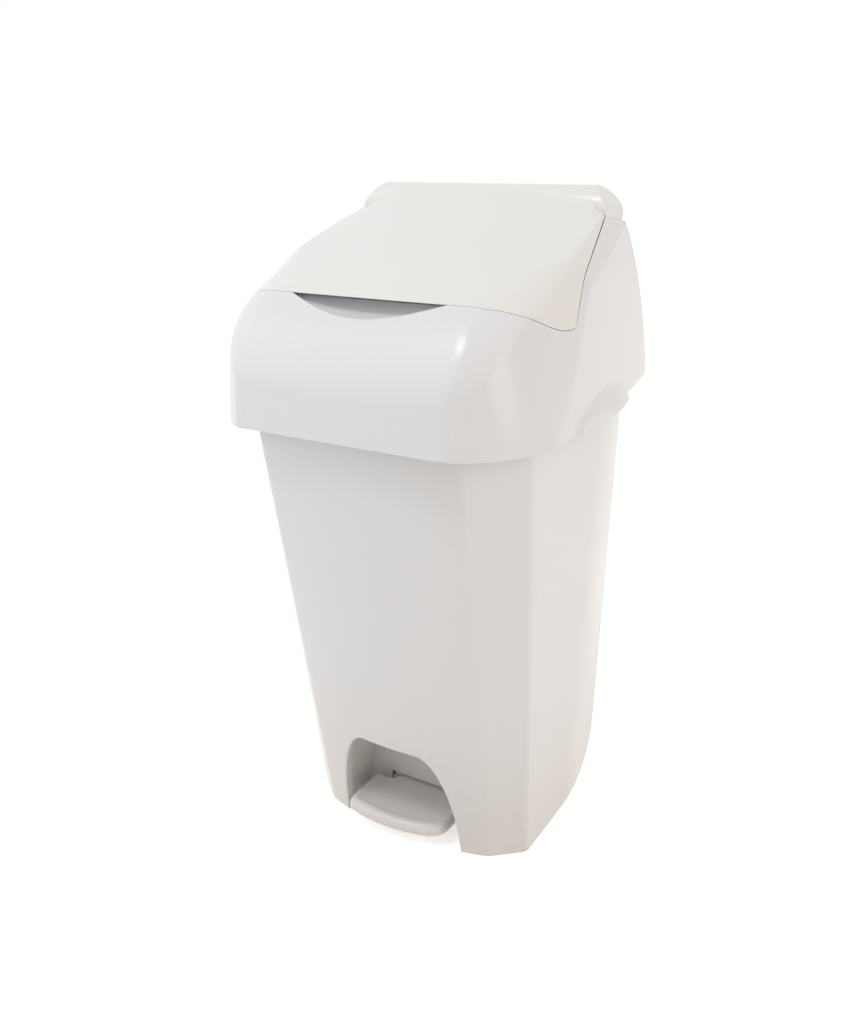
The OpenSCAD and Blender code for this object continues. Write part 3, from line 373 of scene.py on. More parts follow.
def hoodSkin():
    # outside rows, a rounded lip, the ledge under the flap as a weighted curve, and rows down the inside
    s, cols = edgeSet, seamHalf("all")
    c = hoodColumns(cols)
    t = spaced(s["rows"])[:-1]
    fc, pc = seamSet["frontCols"], seamSet["frontCols"] + seamSet["arcCols"] - 1
    cc = len(c["a0"]) - seamSet["rearCols"] - 1
    keys = [0, fc, pc, cc, len(c["a0"]) - 1]
    tests = (lambda p: frontField(p) - podField(p), lambda p: podField(p) - sideField(p),
             lambda p: sideField(p) - backField(p))
    shifts = [creaseShift(c, i, t, w, f) for i, w, f in zip(keys[1:4], s["reach"], tests)]
    shifts = [0 * t] + shifts + [0 * t]
    index = np.arange(len(c["a0"]))
    shift = np.stack([np.interp(index, keys, [d[j] for d in shifts]) for j in range(len(t))], axis=1)
    outer = pathPoints(c, t, shift)
    i3, i4 = np.moveaxis(pathPoints(c, np.array(s["under"]), 0, skin["wall"]), 1, 0)
    k = c["k"]
    low, run = c["lip"] - s["ledgeDrop"], s["ledge"] + s["dishBack"] * k
    m1 = rows(c["p"][:, 0], c["p"][:, 1] - s["dishPull"] * skin["scoop"] * k,
              mix(low, c["lip"] - s["dishLow"], k))
    m2 = rows(c["p"][:, 0] + c["h"][:, 0] * run, c["p"][:, 1] + c["h"][:, 1] * run,
              mix(low + s["ledge"] * skin["slope"], c["lip"] - s["dishTop"], k))
    u = np.linspace(0, 1, s["strip"] + 1)[1:][:, None]
    w = (1 + s["square"] * (1 - k))[:, None, None]
    curve = c["top"][:, None] * (1 - u) ** 2 + m1[:, None] * 2 * w * u * (1 - u) + m2[:, None] * u ** 2
    curve = curve / ((1 - u) ** 2 + 2 * w * u * (1 - u) + u ** 2)
    lw = c["ledge"][:, None]
    strip = mix(mix(c["top"][:, None], i3[:, None], u), curve, lw[..., None])
    lip = softCorner(outer[:, -1], c["top"], strip[:, 0], mix(s["corner"], s["lipCorner"], k)[:, None])
    # two points under the ledge, a wall's thickness below its end and its middle
    below = [m2 + rows(0, 2.6 * k, 3 * k - 3), curve[:, s["strip"] // 2] + rows(0, 2 * k - 2, -3.5 + 0 * k)]
    under = np.stack([mix(i3, below[0], lw), mix(i4, below[1], lw)], axis=1)
    inner = pathPoints(c, np.linspace(*s["inner"], s["innerRows"]), 0, skin["wall"])
    base = levelHit(c["a0"], skin["hoodZ"], skin["wall"])[:, None]
    start = levelHit(c["a0"], skin["hoodZ"])[:, None]
    half = np.concatenate([start, outer[:, 1:], lip, strip[:, 1:], under, inner, base], axis=1)
    return ringShell(np.concatenate([half, half[-2:0:-1] * (-1, 1, 1)]))


# The flap and its hinge roll
flapSet = dict(
    rows=84, near=(0, 0.08, 0.2, 0.4, 0.8, 2.0), edge=0.35, wall=3.0,  # sheet, with rows close to its edge
    rearRun=17.0, endDrop=3.0, coveEnd=128.0, ahead=(6.0, 14.0), tuck=(0.9, 2.2),  # rear edge on the roll
    webX=92.0, tubeX=118.0, cut=0.105, cutPow=1.6, cutFrom=2.0,  # roll's webs and its slanting ends
    bracketX=103.0, slot=5.0, slotA=(-132.0, -18.0), rodSlot=(-131.0, -97.0), rodDeep=12.7,  # roll's slots
    liner=((80.0, 60.0), (80.0, 175.0)), bossTop=-1.4, rodX=-120.0, rodY=43.5, lugZ=681.3)


def flapColumns():
    # from the flap's front edge to its end on the roll, as plan points; the last ends stand close together
    # so that the last column runs along the side seam
    cols, s = seamHalf("front"), flapSet
    p = cols[:2].T + seamAcross(cols) * skin["gap"] / 2
    (x, y), (ex, ey) = seamSet["apex"], seamSet["end"]
    ahead = np.clip((cols[0] - s["coveEnd"] + s["ahead"][0]) / s["ahead"][1], 0, 1)
    first = np.searchsorted(cols[0], s["coveEnd"])
    far = np.clip((np.arange(len(p)) - first) / (len(p) - 1 - first), 0, 1)
    end = x + (ex - x) * s["endDrop"] / (y - ey) - 0.3
    q = rows(np.where(far > 0, mix(cols[0, first], end, far), cols[0]),
             mix(roll["y"] - s["rearRun"], y, ahead) - s["endDrop"] * far)
    return p, q


def edgeDrop(points, outline, r):
    # how far the skin sinks near its outline so that the edge is rounded to radius r
    d = np.full(points.shape[:-1], 1e9)
    for a, b in zip(outline[:-1], outline[1:]):
        e = b - a
        u = np.clip(((points - a) @ e) / max(e @ e, 1e-12), 0, 1)
        d = np.minimum(d, np.linalg.norm(points - a - u[..., None] * e, axis=-1))
    return r - np.sqrt(np.maximum(r * r - np.maximum(r - d, 0) ** 2, 0))


def flapSheet():
    # the skin over a fan of columns from the seam to the roll, with a rounded edge and an inner skin below it
    p, q = flapColumns()
    s, length = flapSet, np.hypot(*(q - p).T)[:, None]
    t = np.concatenate([np.tile(s["near"], (len(p), 1)) / length,
                        mix(s["near"][-1] / length, 1, spaced(s["rows"], 0.5)[1:][None, :])], axis=1)
    plan = mix(p[:, None], q[:, None], t[..., None])
    up = dropHit(plan[..., 0], plan[..., 1], flapField)
    drop = edgeDrop(up, np.concatenate([up[:, 0], up[-1]]), s["edge"])
    low = hit(hub, (up - hub) / np.linalg.norm(up - hub, axis=-1, keepdims=True), s["wall"], flapField)
    normal = fieldNormal(flapField, up)
    up = up - drop[..., None] * normal / np.linalg.norm(normal, axis=-1, keepdims=True)
    wide = np.abs(up[:, -1, 0]) > s["coveEnd"] - 4
    rise = lambda r: np.sqrt(np.maximum(0, r ** 2 - (up[:, -1, 1] + 1 - roll["y"]) ** 2))
    tail = lambda r, extra: np.where(wide[:, None], up[:, -1] + (0, 0.8, -1.5 - extra),
                                     rows(up[:, -1, 0], up[:, -1, 1] + 1, roll["z"] + rise(r)))
    up = np.concatenate([up, tail(roll["r"] - s["tuck"][0], 0)[:, None]], axis=1)
    low = np.concatenate([low, tail(roll["r"] - s["tuck"][1], 1)[:, None]], axis=1)
    both = lambda g: np.concatenate([g[:0:-1] * (-1, 1, 1), g])
    v, f = sheetShell(both(up), both(low))
    return v, [g[:, ::-1] for g in f]


def rollShell():
    # closed tube round the hinge axis: disc, wall and disc as one grid of radius and length against angle,
    # its ends sloping back above the axis, with the slots for the two brackets and the rod left out
    s, r0, yc, zc = flapSet, roll["r"], roll["y"], roll["z"]
    rodA = math.asin(s["rodDeep"] / r0)
    rodFrom, rodTo = math.degrees(-math.pi + rodA), math.degrees(-rodA)
    a = np.arange(-178.0, 181.0, 2.5)
    a = np.radians(np.unique(np.append(a, [*s["slotA"], rodFrom, rodTo])))[::-1]
    breaks = [s["rodSlot"][1], -s["bracketX"] - s["slot"], s["slot"] - s["bracketX"],
              s["bracketX"] - s["slot"], s["bracketX"] + s["slot"]]
    x = np.unique(np.append(np.linspace(-s["tubeX"], s["tubeX"], 60), breaks))
    inward = np.array([0.012, 0.3, 0.6, 0.85, 0.965, 0.992])  # rings of the end discs as shares of the radius
    rim = np.array([0.3, 1.2, 3, 8, 14]) / 22  # rings of the wall beyond tubeX as shares of its length
    grids = []
    for r, back in ((r0, 0), (r0 - roll["wall"], roll["wall"])):
        slant = lambda q: s["cut"] * np.maximum(0, r * q * np.sin(a) + s["cutFrom"]) ** s["cutPow"]
        end = lambda q: roll["half"] - back - slant(q)
        ring = lambda v, q: rows(v + 0 * a, yc + r * q * np.cos(a), zc + r * q * np.sin(a))
        right = [ring(end(q), q) for q in inward]
        right = np.stack(right + [ring(s["tubeX"] + (end(1) - s["tubeX"]) * (1 - k), 1) for k in rim])
        grids.append(np.concatenate([right * (-1, 1, 1), np.stack([ring(v, 1) for v in x]), right[::-1]]))
    upper, lower = grids
    mid = (upper[:-1, :, 0] + upper[1:, :, 0]) / 2
    am = (a + np.roll(a, -1)) / 2
    am[-1] = a[-1] - math.radians(0.8)
    deg = np.degrees(am)[None, :]
    slots = (np.abs(np.abs(mid) - s["bracketX"]) < s["slot"]) & (deg > s["slotA"][0]) & (deg < s["slotA"][1])
    rodCut = (mid > s["rodSlot"][0]) & (mid < s["rodSlot"][1]) & (deg > rodFrom) & (deg < rodTo)
    return sheetShell(upper, lower, ~(slots | rodCut), True)


def flapInside():
    # webs on the hinge rod, the lug that the rod pushes and the liner's four bosses
    s, parts = flapSet, []
    for side in (-s["webX"], s["webX"]):
        parts.append(lathe([(4.05, -3), (4.05, 3), (21.6, 3), (21.6, -3)], (side, roll["y"], roll["z"]), "x"))
    lugLow = (s["rodX"] - 8, s["rodY"] - 6.5, s["lugZ"])
    lugHigh = (s["rodX"] + 8, s["rodY"] + 12.5, roll["z"] + 6)
    parts.append(roundedBox(lugLow, lugHigh, 1))
    tilt = math.atan(skin["slope"])
    for bx, by in s["liner"]:
        for side in (-1, 1):
            top = -skin["crown"] * bx * bx * by + s["bossTop"]
            boss = [(2.1, -20), (2.1, -11), (0.4, -10.5), (0.4, top), (4.5, top), (4.5, -20)]
            v, f = lathe(boss, (0, 0, 0))
            y, z = v[:, 1] + by, v[:, 2]
            v = rows(v[:, 0] + side * bx, skin["slotY"] + y * math.cos(tilt) - z * math.sin(tilt),
                     skin["topZ"] + y * math.sin(tilt) + z * math.cos(tilt))
            parts.append((v, f))
    return parts


# Closed shapes from loops
def stacked(loops):
    # closed solid through a stack of loops that run anticlockwise seen from above, lowest first
    m, n = loops.shape[:2]
    ring = np.arange(n)[None, :]
    return loops.reshape(-1, 3), [gridQuads(m, n, False, True)[:, ::-1], ring[:, ::-1], ring + (m - 1) * n]


def roundedLoop(w, d, r, cx=0.0, cy=0.0, n=5):  # rectangle of half sizes w and d with corners of radius r
    a = np.radians(np.concatenate([np.linspace(q, q + 90, n) for q in (0, 90, 180, 270)]))
    sx = np.repeat([1, -1, -1, 1], n)
    sy = np.repeat([1, 1, -1, -1], n)
    return rows(cx + sx * (w - r) + r * np.cos(a), cy + sy * (d - r) + r * np.sin(a))


def roundedBox(lo, hi, r):  # rounded rectangles from lo up to hi, drawn in at both ends by r
    c, w, d = (np.add(lo, hi) / 2), (hi[0] - lo[0]) / 2, (hi[1] - lo[1]) / 2
    k = 0.3 * r
    steps = ((r, lo[2]), (k, lo[2] + k), (0, lo[2] + r), (0, hi[2] - r), (k, hi[2] - k), (r, hi[2]))
    loops = [np.c_[roundedLoop(w - i, d - i, 2 * r, c[0], c[1]), np.full(20, z)] for i, z in steps]
    return stacked(np.stack(loops))


# Tub
tub = dict(
    height=512.0, low=0.8, wall=3.0, floor=60.0, bosses=((105.0, -72.0), (82.0, 158.0)),
    front=((107.4, 110.5, 19.0), (115.9, 203.9, 9.0)),  # half width, depth and bow below and above
    side=(141.6, 162.6), facet=(30.0, 55.0), sideStart=20.5, sidePow=1.6, rearIn=(33.0, 41.5), rear=198.0,
    corner=10.0, soft=5.0, lastFront=0.955, edge=0.8,  # outline's corners and the rounding of wall edges
    archW=76.5, archFlat=34.0, archH=128.5, lip=12.0, lipR=2.6, step=4.0,  # pedal opening and its lip
    recess=-63.6, gap=((-51.5, 0.8), (-51.5, 32.0), (58.5, 32.0), (58.5, 0.8)),
    flatCols=30, archCols=46, footCols=14, rows=44)


def bend(a, c, b, n=7):  # n points of the curve from a to b that c pulls out
    t = np.linspace(0, 1, n)[:, None]
    return a * (1 - t) ** 2 + c * 2 * t * (1 - t) + b * t ** 2


def tubStations(t, sFront):
    # half the outline at height share t: bowed front at shares sFront, facet, side drawn in to the rear, rear
    s = tub
    xa, ya, bow = (mix(s["front"][0][i], s["front"][1][i], t) for i in range(3))
    xs = mix(*s["side"], t)
    yb = -ya + mix(*s["facet"], t)
    drop = mix(*s["rearIn"], t)
    ye, xe = s["rear"] - s["corner"], xs - drop
    front = rows(xa * sFront, -ya - bow * (1 - sFront ** 2))
    cornerA, cornerB = np.array([xa, -ya]), np.array([xs, yb])
    along = (cornerB - cornerA) / np.hypot(*(cornerB - cornerA))
    last, soft = s["lastFront"], s["soft"]
    before = np.array([xa * last, -ya - bow * (1 - last ** 2)])
    facetA, facetB = cornerA + along * soft, cornerB - along * soft
    straight = rows(xs + np.zeros(12), mix(yb + soft, s["sideStart"], np.linspace(0, 1, 13)[1:]))
    u = np.linspace(0, 1, 26)[1:]
    side = rows(xs - drop * u ** s["sidePow"], mix(s["sideStart"], ye, u))
    rearEnd = np.array([xe - s["corner"], s["rear"]])
    rear = rows(rearEnd[0] * (1 - np.linspace(0, 1, 10)[1:]), s["rear"] + np.zeros(9))
    return np.concatenate([front, bend(before, cornerA, facetA),
                           mix(facetA, facetB, np.linspace(0, 1, 9)[1:-1, None]),
                           bend(facetB, cornerB, cornerB + (0, soft)), straight, side,
                           bend(side[-1], np.array([xe, s["rear"]]), rearEnd)[1:], rear])


def inwards(line, d):  # line of points moved to its left by d
    g = np.gradient(line, axis=0)
    g = g / np.maximum(np.hypot(g[:, 0], g[:, 1]), 1e-9)[:, None]
    n = rows(-g[:, 1], g[:, 0])
    n[0], n[-1] = (0, 1), (0, -1)
    return line + n * d


def archPoints(a, d):  # arch of the pedal opening at angle a, moved outwards by d
    s = tub  # a flat that ends in a quarter ellipse
    return s["archFlat"] + (s["archW"] - s["archFlat"] + d) * np.cos(a), (s["archH"] + d) * np.sin(a)


def tubFrontY(x, z):  # depth of the bowed front, a parabola across whose size grows with the height
    t = z / tub["height"]
    xa, ya, bow = (mix(tub["front"][0][i], tub["front"][1][i], t) for i in range(3))
    return -ya - bow * (1 - (x / xa) ** 2)


def quarterTurn(a, c, b, shares=(0, 0.2, 0.4, 0.6, 0.8)):  # rows of points of the curve from a to b by c
    return [a * (1 - k) ** 2 + c * 2 * k * (1 - k) + b * k * k for k in shares]


def tubWall():
    # every column starts at the pedal opening's rounded edge or the foot, runs up outside and down inside
    s = tub
    level, footA = np.full(s["flatCols"], math.pi / 2), math.asin(s["low"] / s["archH"])
    a = np.concatenate([level, np.linspace(math.pi / 2, footA, s["archCols"])])
    flat = np.linspace(0, s["archFlat"], s["flatCols"], endpoint=False)
    flat = np.append(flat, np.full(s["archCols"], s["archFlat"])) - s["archFlat"]
    (ex, ez), (ox, oz) = archPoints(a, 0), archPoints(a, s["lipR"])
    ex, ox = ex + flat, ox + flat
    nArch = len(a)
    sArch = ox / mix(s["front"][0][0], s["front"][1][0], oz / s["height"])
    sFoot = mix(sArch[-1], s["lastFront"], np.linspace(0, 1, s["footCols"])[1:-1])
    sAll = np.concatenate([sArch, sFoot])
    p0, p1 = tubStations(0.0, sAll), tubStations(1.0, sAll)
    q0, q1 = inwards(p0, s["wall"]), inwards(p1, s["wall"])
    for q, p in ((q0, p0), (q1, p1)):
        q[:len(sAll)] = p[:len(sAll)] + (0, s["wall"])
    n = len(p0)
    z0 = np.concatenate([oz, np.full(n - nArch, s["low"] + s["edge"])])
    up = np.linspace(0, 1, s["rows"]) ** 1.15
    z = z0[:, None] + (s["height"] - s["edge"] - z0[:, None]) * up

    def at(a0, a1, zz):  # plan points between those of the floor and of the rim, at heights zz
        plan = mix(a0[:, None], a1[:, None], (zz / s["height"])[..., None])
        return np.concatenate([plan, zz[..., None]], axis=-1)

    outer, inner = at(p0, p1, z), at(q0, q1, z[:, ::-1])
    top = [mix(outer[:, -1], inner[:, 0], k) + (0, 0, s["edge"]) for k in (0.25, 0.75)]
    # pedal opening: the end of the lip, then the turn into the front
    archEdge = rows(ex, tubFrontY(ex, ez), ez)
    start = outer[:nArch, 0]
    deep = archEdge + (0, s["lip"], 0)
    ux, uz = archPoints(a, s["step"] + s["wall"] / 2)
    hook = rows(ux + flat, deep[:, 1], uz)
    corner = np.stack([hook, deep] + quarterTurn(archEdge + (0, s["lipR"], 0), archEdge, start), axis=1)
    # foot: the wall's inside, its underside and the turn into the outside
    foot, inFoot = outer[nArch:, 0], inner[nArch:, -1]
    low = foot - (0, 0, s["edge"])
    lowIn = np.concatenate([inFoot[:, :2], np.full((n - nArch, 1), s["low"])], axis=1)
    under = mix(low, lowIn, 0.27)
    footRows = np.stack([lowIn, mix(lowIn, under, 0.5)] + quarterTurn(under, low, foot), axis=1)
    half = np.concatenate([np.concatenate([corner, footRows]), outer, np.stack(top, axis=1), inner], axis=1)
    return ringShell(np.concatenate([half, half[-2:0:-1] * (-1, 1, 1)])), (q0, q1)


def tubRecess():
    # walls of the pedal's recess from behind the lip to its back, and the back itself, open below
    s, side, across = tub, 40, 25
    a = np.linspace(math.asin(s["low"] / s["archH"]), math.pi / 2, side)
    a = np.append(a, np.full(across - 1, math.pi / 2))
    flat = np.append(np.zeros(side), np.linspace(0, -s["archFlat"], across)[1:])
    grids = []
    for d in (s["step"] + s["wall"], s["step"]):
        x, z = archPoints(a, d)
        x, z = x + flat, np.maximum(z, s["low"])
        x, z = np.concatenate([-x, x[-2::-1]]), np.concatenate([z, z[-2::-1]])
        y0 = tubFrontY(x, z) + s["lip"] - 0.6
        v = np.linspace(0, 1, 14)
        grids.append(rows(x[:, None] + 0 * v, mix(y0[:, None], s["recess"] + 1, v), z[:, None] + 0 * v))
    x, z = archPoints(a[:side], s["step"] + 1)
    right = rows(x, np.maximum(z, s["low"]))
    outline = np.concatenate([right, right[::-1] * (-1, 1), s["gap"]])
    y = np.array([s["recess"], s["recess"] + s["wall"]])[:, None]
    plate = rows(outline[:, 0] + 0 * y, y + 0 * outline[:, 0], outline[:, 1] + 0 * y)
    return [sheetShell(*grids), stacked(plate)]


def tubFloor(q0, q1):
    # a sheet from the recess and its sides out to the wall, and four hollow bosses under it
    s = tub
    out = mix(q0, q1, s["floor"] / s["height"])[s["flatCols"] + s["archCols"] - 1:]
    out = inwards(out, -1.2)
    w, r = s["archW"] + s["wall"] / 2, s["recess"] + 1.6
    y = out[:, 1]
    shrink = np.clip((s["rear"] - y) / s["floor"], 0, 1)
    ins = rows(np.where(y < r, w, np.clip(out[:, 0], 0, w * shrink)), np.where(y < r, y, r))
    half = mix(out[:, None], ins[:, None], np.linspace(0, 1, 6)[:, None])
    both = np.concatenate([half, half[-2::-1] * (-1, 1)])
    lift = lambda z: np.concatenate([both, np.full(both.shape[:2] + (1,), z)], axis=-1)
    parts = [sheetShell(lift(s["floor"]), lift(s["floor"] - s["wall"]))]
    for bx, by in s["bosses"]:
        for side in (-1, 1):
            parts.append(lathe([(2.1, 7), (2.1, 26), (6, 26.5), (6, 7)][::-1], (side * bx, by, 0), "z", 32))
            parts.append(lathe([(0.4, 26), (0.4, 58), (6, 58), (6, 26)], (side * bx, by, 0), "z", 32))
    return parts


# Pedal
pedal = dict(
    front=-144.5, bow=0.003, middle=-14.0, left=-67.0, right=57.5, rear=-61.5, cornerL=8.0, cornerR=16.0,
    cornerRear=5.0, notch=(-53.0, 15.0), armY=-76.4,
    low=18.0, edge=23.5, top=31.0, flatTop=29.6, foot=1.2, round=7.5, rim=10.0, dish=1.6, slope=3.4,
    tongueW=50.0, tongue=(22.0, 29.4), tongueSink=4.0, tongueRear=-30.0,
    axle=(-52.0, 24.0), bore=4.05, hub=8.0)


def treadOutline():
    # anticlockwise from the front's left end: bowed front, rounded corners, straight rear with a round notch;
    # every point has its share of the rim's width and of the rim's height
    s = pedal
    l, r, rear = s["left"], s["right"], s["rear"]
    bow = lambda x: s["front"] + s["bow"] * (x - s["middle"]) ** 2
    x = np.linspace(l + s["cornerL"], r - s["cornerR"], 41)
    front = rows(x, bow(x))
    rightFront = bend(front[-1], np.array([r, bow(r)]), np.array([r, bow(r) + s["cornerR"] + 3]), 12)[1:]
    right = rows(r + np.zeros(11), mix(rightFront[-1, 1], rear - s["cornerRear"], np.linspace(0, 1, 12)[1:]))
    nearRear = r - s["cornerRear"]
    rightRear = bend(right[-1], np.array([r, rear]), np.array([nearRear, rear]), 7)[1:]
    cx, cr = s["notch"]
    back = rows(mix(nearRear, cx + cr + 0.8, np.linspace(0, 1, 26)[1:]), rear + np.zeros(25))
    a = np.radians(np.linspace(-4, -116, 26))
    notch = rows(cx + cr * np.cos(a), rear + cr * np.sin(a))
    arm = bend(notch[-1], np.array([l, s["armY"]]), np.array([l, s["armY"] - 3]), 7)[1:]
    left = mix(arm[-1, 1], bow(l) + s["cornerL"] + 2, np.linspace(0, 1, 15)[1:])
    left = rows(l + np.zeros(14), left)
    leftFront = bend(left[-1], np.array([l, bow(l)]), front[0], 10)[1:-1]
    runs = ((front, 1, 1), (rightFront, 0.9, 1), (right, 0.55, 1), (rightRear, 0.3, 0.5), (back, 0.08, 0),
            (notch, 0.1, 0), (arm, 0.3, 0.5), (left, 0.55, 1), (leftFront, 0.9, 1))
    width, height = (np.concatenate([np.full(len(run[0]), run[k], float) for run in runs]) for k in (1, 2))
    for step in range(12):
        width, height = ((np.roll(v, 1) + v * 2 + np.roll(v, -1)) / 4 for v in (width, height))
    return np.concatenate([run[0] for run in runs]), width[:, None], height


def treadSkin():
    # loops drawn in from the outline: rounded foot, side, wide rounded rim, slope into the dish, flat middle
    s = pedal
    line, width, height = treadOutline()
    g = np.roll(line, -1, 0) - np.roll(line, 1, 0)
    g = g / np.hypot(g[:, 0], g[:, 1])[:, None]
    normal = rows(-g[:, 1], g[:, 0])
    for step in range(3):
        normal = (np.roll(normal, 1, 0) + normal * 2 + np.roll(normal, -1, 0)) / 4
    normal = normal / np.hypot(normal[:, 0], normal[:, 1])[:, None]
    top, low, foot, edge, r = s["top"], s["low"], s["foot"], s["edge"], s["round"]
    prof = [(foot, low), (foot / 4, low + foot / 4), (0, low + foot)]
    turn = np.radians(np.linspace(0, 90, 9))
    prof += [(r * (1 - math.cos(k)), edge + (top - edge) * math.sin(k)) for k in turn]
    prof += [(s["rim"] + s["slope"] * k, top - s["dish"] * smooth(k)) for k in (0, 0.2, 0.4, 0.6, 0.8, 1)]
    share = (s["flatTop"] - low) / (top - low)
    loops = []
    for d, z in prof:
        # where the rim dies away the top is level with the dish
        flat = min(z, s["flatTop"]) if d > r else mix(low, z, share)
        loops.append(np.c_[line + normal * d * (width if d > foot else 1), mix(flat, z, height)])
    parts = [stacked(np.stack(loops))]
    # tongue behind the tread, lowered inside the notch
    w, (bottom, level), (ay, az) = s["tongueW"], s["tongue"], s["axle"]
    x, y = np.meshgrid(np.linspace(-w, w, 70), np.linspace(s["rear"] - 1, s["tongueRear"], 34), indexing="ij")
    inNotch = smooth((s["notch"][1] + 0.7 - np.hypot(x - s["notch"][0], y - s["rear"])) / 1.4)
    z = level - s["tongueSink"] * inNotch
    parts.append(sheetShell(rows(x, y, z), rows(x, y, bottom + 0 * z)))
    # hub round the axle
    hub, bore = s["hub"], s["bore"]
    tube = [(bore, -w), (hub - 0.8, -w), (hub, -w + 0.8), (hub, w - 0.8), (hub - 0.8, w), (bore, w)]
    parts.append(lathe(tube[::-1], (0, ay, az), "x"))
    return parts


# Materials, written as expressions on sockets
class Value:
    # one output socket; sums, differences, products and quotients add Math nodes
    def __init__(self, look, socket):
        self.look, self.socket = look, socket

    def math(self, operation, *others):
        inputs = dict(enumerate((self,) + others))
        return self.look.node("ShaderNodeMath", dict(operation=operation), inputs)

    def __add__(self, other):
        return self.math("ADD", other)

    def __sub__(self, other):
        return self.math("SUBTRACT", other)

    def __mul__(self, other):
        return self.math("MULTIPLY", other)

    def __rsub__(self, other):
        return self.look.node("ShaderNodeMath", dict(operation="SUBTRACT"), {0: other, 1: self})

    __radd__, __rmul__ = __add__, __mul__


class Look:
    # one material with its Principled shader
    def __init__(self, name):
        self.material = bpy.data.materials.new(name)
        self.material.use_nodes = True
        self.tree = self.material.node_tree
        self.shader = self.tree.nodes["Principled BSDF"]
        self.place = self.node("ShaderNodeTexCoord", {}, {}, "Object")

    def node(self, kind, settings, inputs, out=0):
        # adds a node, applies its settings, then joins or sets its inputs
        n = self.tree.nodes.new(kind)
        for key, v in settings.items():
            setattr(n, key, v)
        for key, v in inputs.items():
            self.put(n.inputs[key], v)
        return Value(self, n.outputs[out])

    def put(self, socket, v):
        if isinstance(v, Value):
            self.tree.links.new(v.socket, socket)
        else:
            socket.default_value = v

    def set(self, **values):
        for key, v in values.items():
            self.put(self.shader.inputs[key.replace("_", " ")], v)
        return self

    def noise(self, scale, detail=2.0, stretch=None):
        at = self.place
        if stretch is not None:
            at = self.node("ShaderNodeMapping", {}, {"Vector": at, "Scale": stretch})
        return self.node("ShaderNodeTexNoise", {}, {"Vector": at, "Scale": scale, "Detail": detail})

    def step(self, v, low, high):  # smooth 0 to 1 as v goes from low to high, which may lie below low
        return self.node("ShaderNodeMapRange", dict(interpolation_type="SMOOTHSTEP"),
                         {"Value": v, "From Min": low, "From Max": high})

    def blend(self, factor, a, b):  # colours mixed by a factor, through the Mix node's colour sockets
        n = self.tree.nodes.new("ShaderNodeMix")
        n.data_type = "RGBA"
        for i, v in ((0, factor), (6, a), (7, b)):
            self.put(n.inputs[i], v)
        return Value(self, n.outputs[2])

    def height(self):  # height above the floor in metres
        return self.node("ShaderNodeSeparateXYZ", {}, {"Vector": self.place}, "Z")

    def bump(self, v, strength, distance, before=None):  # before is a bump that this one is added to
        inputs = {"Strength": strength, "Distance": distance, "Height": v}
        if before is not None:
            inputs["Normal"] = before
        return self.node("ShaderNodeBump", {}, inputs)


def colour(r, g, b):  # screen values 0 to 255 as linear colour
    f = lambda c: c / 12.92 if c <= 0.04045 else ((c + 0.055) / 1.055) ** 2.4
    return (f(r / 255), f(g / 255), f(b / 255), 1.0)


# the foot height and foot strength here set the painted warm shade low on every part
plasticSet = dict(shade=0.3, gloss=0.31, glossSpread=0.05, grain=0.05, ripple=0.03, scuff=0.12, warmShadeTop=0.26,
                  foot=0.5, scuffTint=colour(150, 146, 142), coat=0.12, ior=1.48)


def mouldedPlastic(name, light, deep, warmShadeTint, gloss=plasticSet["gloss"], scuffs=True):
    # glossy moulded plastic: slow drift of tone, painted warm shade that turns the foot warmer and darker,
    # rare small scuffs, moulding ripple, fine grain
    s, look = plasticSet, Look(name)
    drift = look.noise(2.6, 0.0) * 0.7 + look.noise(9.0, 0.0) * 0.3
    tone = look.blend(look.step(drift, 0.3, 0.7) * s["shade"], light, deep)
    # painted warm shade: from the set height down to the floor the colour blends towards the warmer, darker
    # tint
    foot = look.step(look.height() + look.noise(6.0, 0.0) * 0.05, s["warmShadeTop"], 0.02) * s["foot"]
    tone = look.blend(foot, tone, warmShadeTint)
    if scuffs:
        marks = look.step(look.noise(120.0, 1.0), 0.7, 0.76) * look.step(look.noise(8.0, 0.0), 0.62, 0.7)
        tone = look.blend(marks * s["scuff"], tone, s["scuffTint"])
    rough = look.step(look.noise(5.0, 0.0), 0.35, 0.65) * s["glossSpread"] + (gloss - 0.03)
    ripple = look.bump(look.noise(10.0, 0.0), s["ripple"], 0.0012)
    grain = look.bump(look.noise(380.0, 1.0), s["grain"], 0.0001, ripple)
    look.set(Base_Color=tone, Roughness=rough, Normal=grain, IOR=s["ior"], Coat_Weight=s["coat"],
             Coat_Roughness=s["coat"])
    return look.material


def rubberLook():  # matt black with patches of grey dust
    look = Look("blackRubber")
    dust = look.step(look.noise(60.0, 4.0), 0.45, 0.75)
    tone = look.blend(dust * 0.5, colour(36, 36, 38), colour(72, 70, 68))
    grain = look.bump(look.noise(900.0, 3.0), 0.3, 0.0003)
    look.set(Base_Color=tone, Roughness=dust * 0.15 + 0.66, Normal=grain)
    return look.material


def nylonLook():  # cloudy natural white
    look = Look("naturalNylon")
    cloud = look.step(look.noise(45.0, 3.0), 0.3, 0.7)
    tone = look.blend(cloud, colour(224, 221, 210), colour(208, 203, 190))
    grain = look.bump(look.noise(700.0, 2.0), 0.12, 0.0002)
    look.set(Base_Color=tone, Roughness=cloud * 0.12 + 0.42, Normal=grain)
    return look.material


def steelLook():
    # zinc plated steel: crystal blotches, drawn lines and dull spots
    look = Look("platedSteel")
    blotch = look.step(look.noise(80.0, 4.0), 0.35, 0.7)
    lines = look.noise(260.0, 2.0, (1.0, 1.0, 0.06))
    tone = look.blend(blotch, colour(196, 198, 202), colour(168, 171, 176))
    look.set(Base_Color=tone, Metallic=1.0, Roughness=lines * 0.16 + blotch * 0.12 + 0.2,
             Normal=look.bump(lines + look.noise(900.0, 2.0) * 0.4, 0.12, 0.0002))
    return look.material
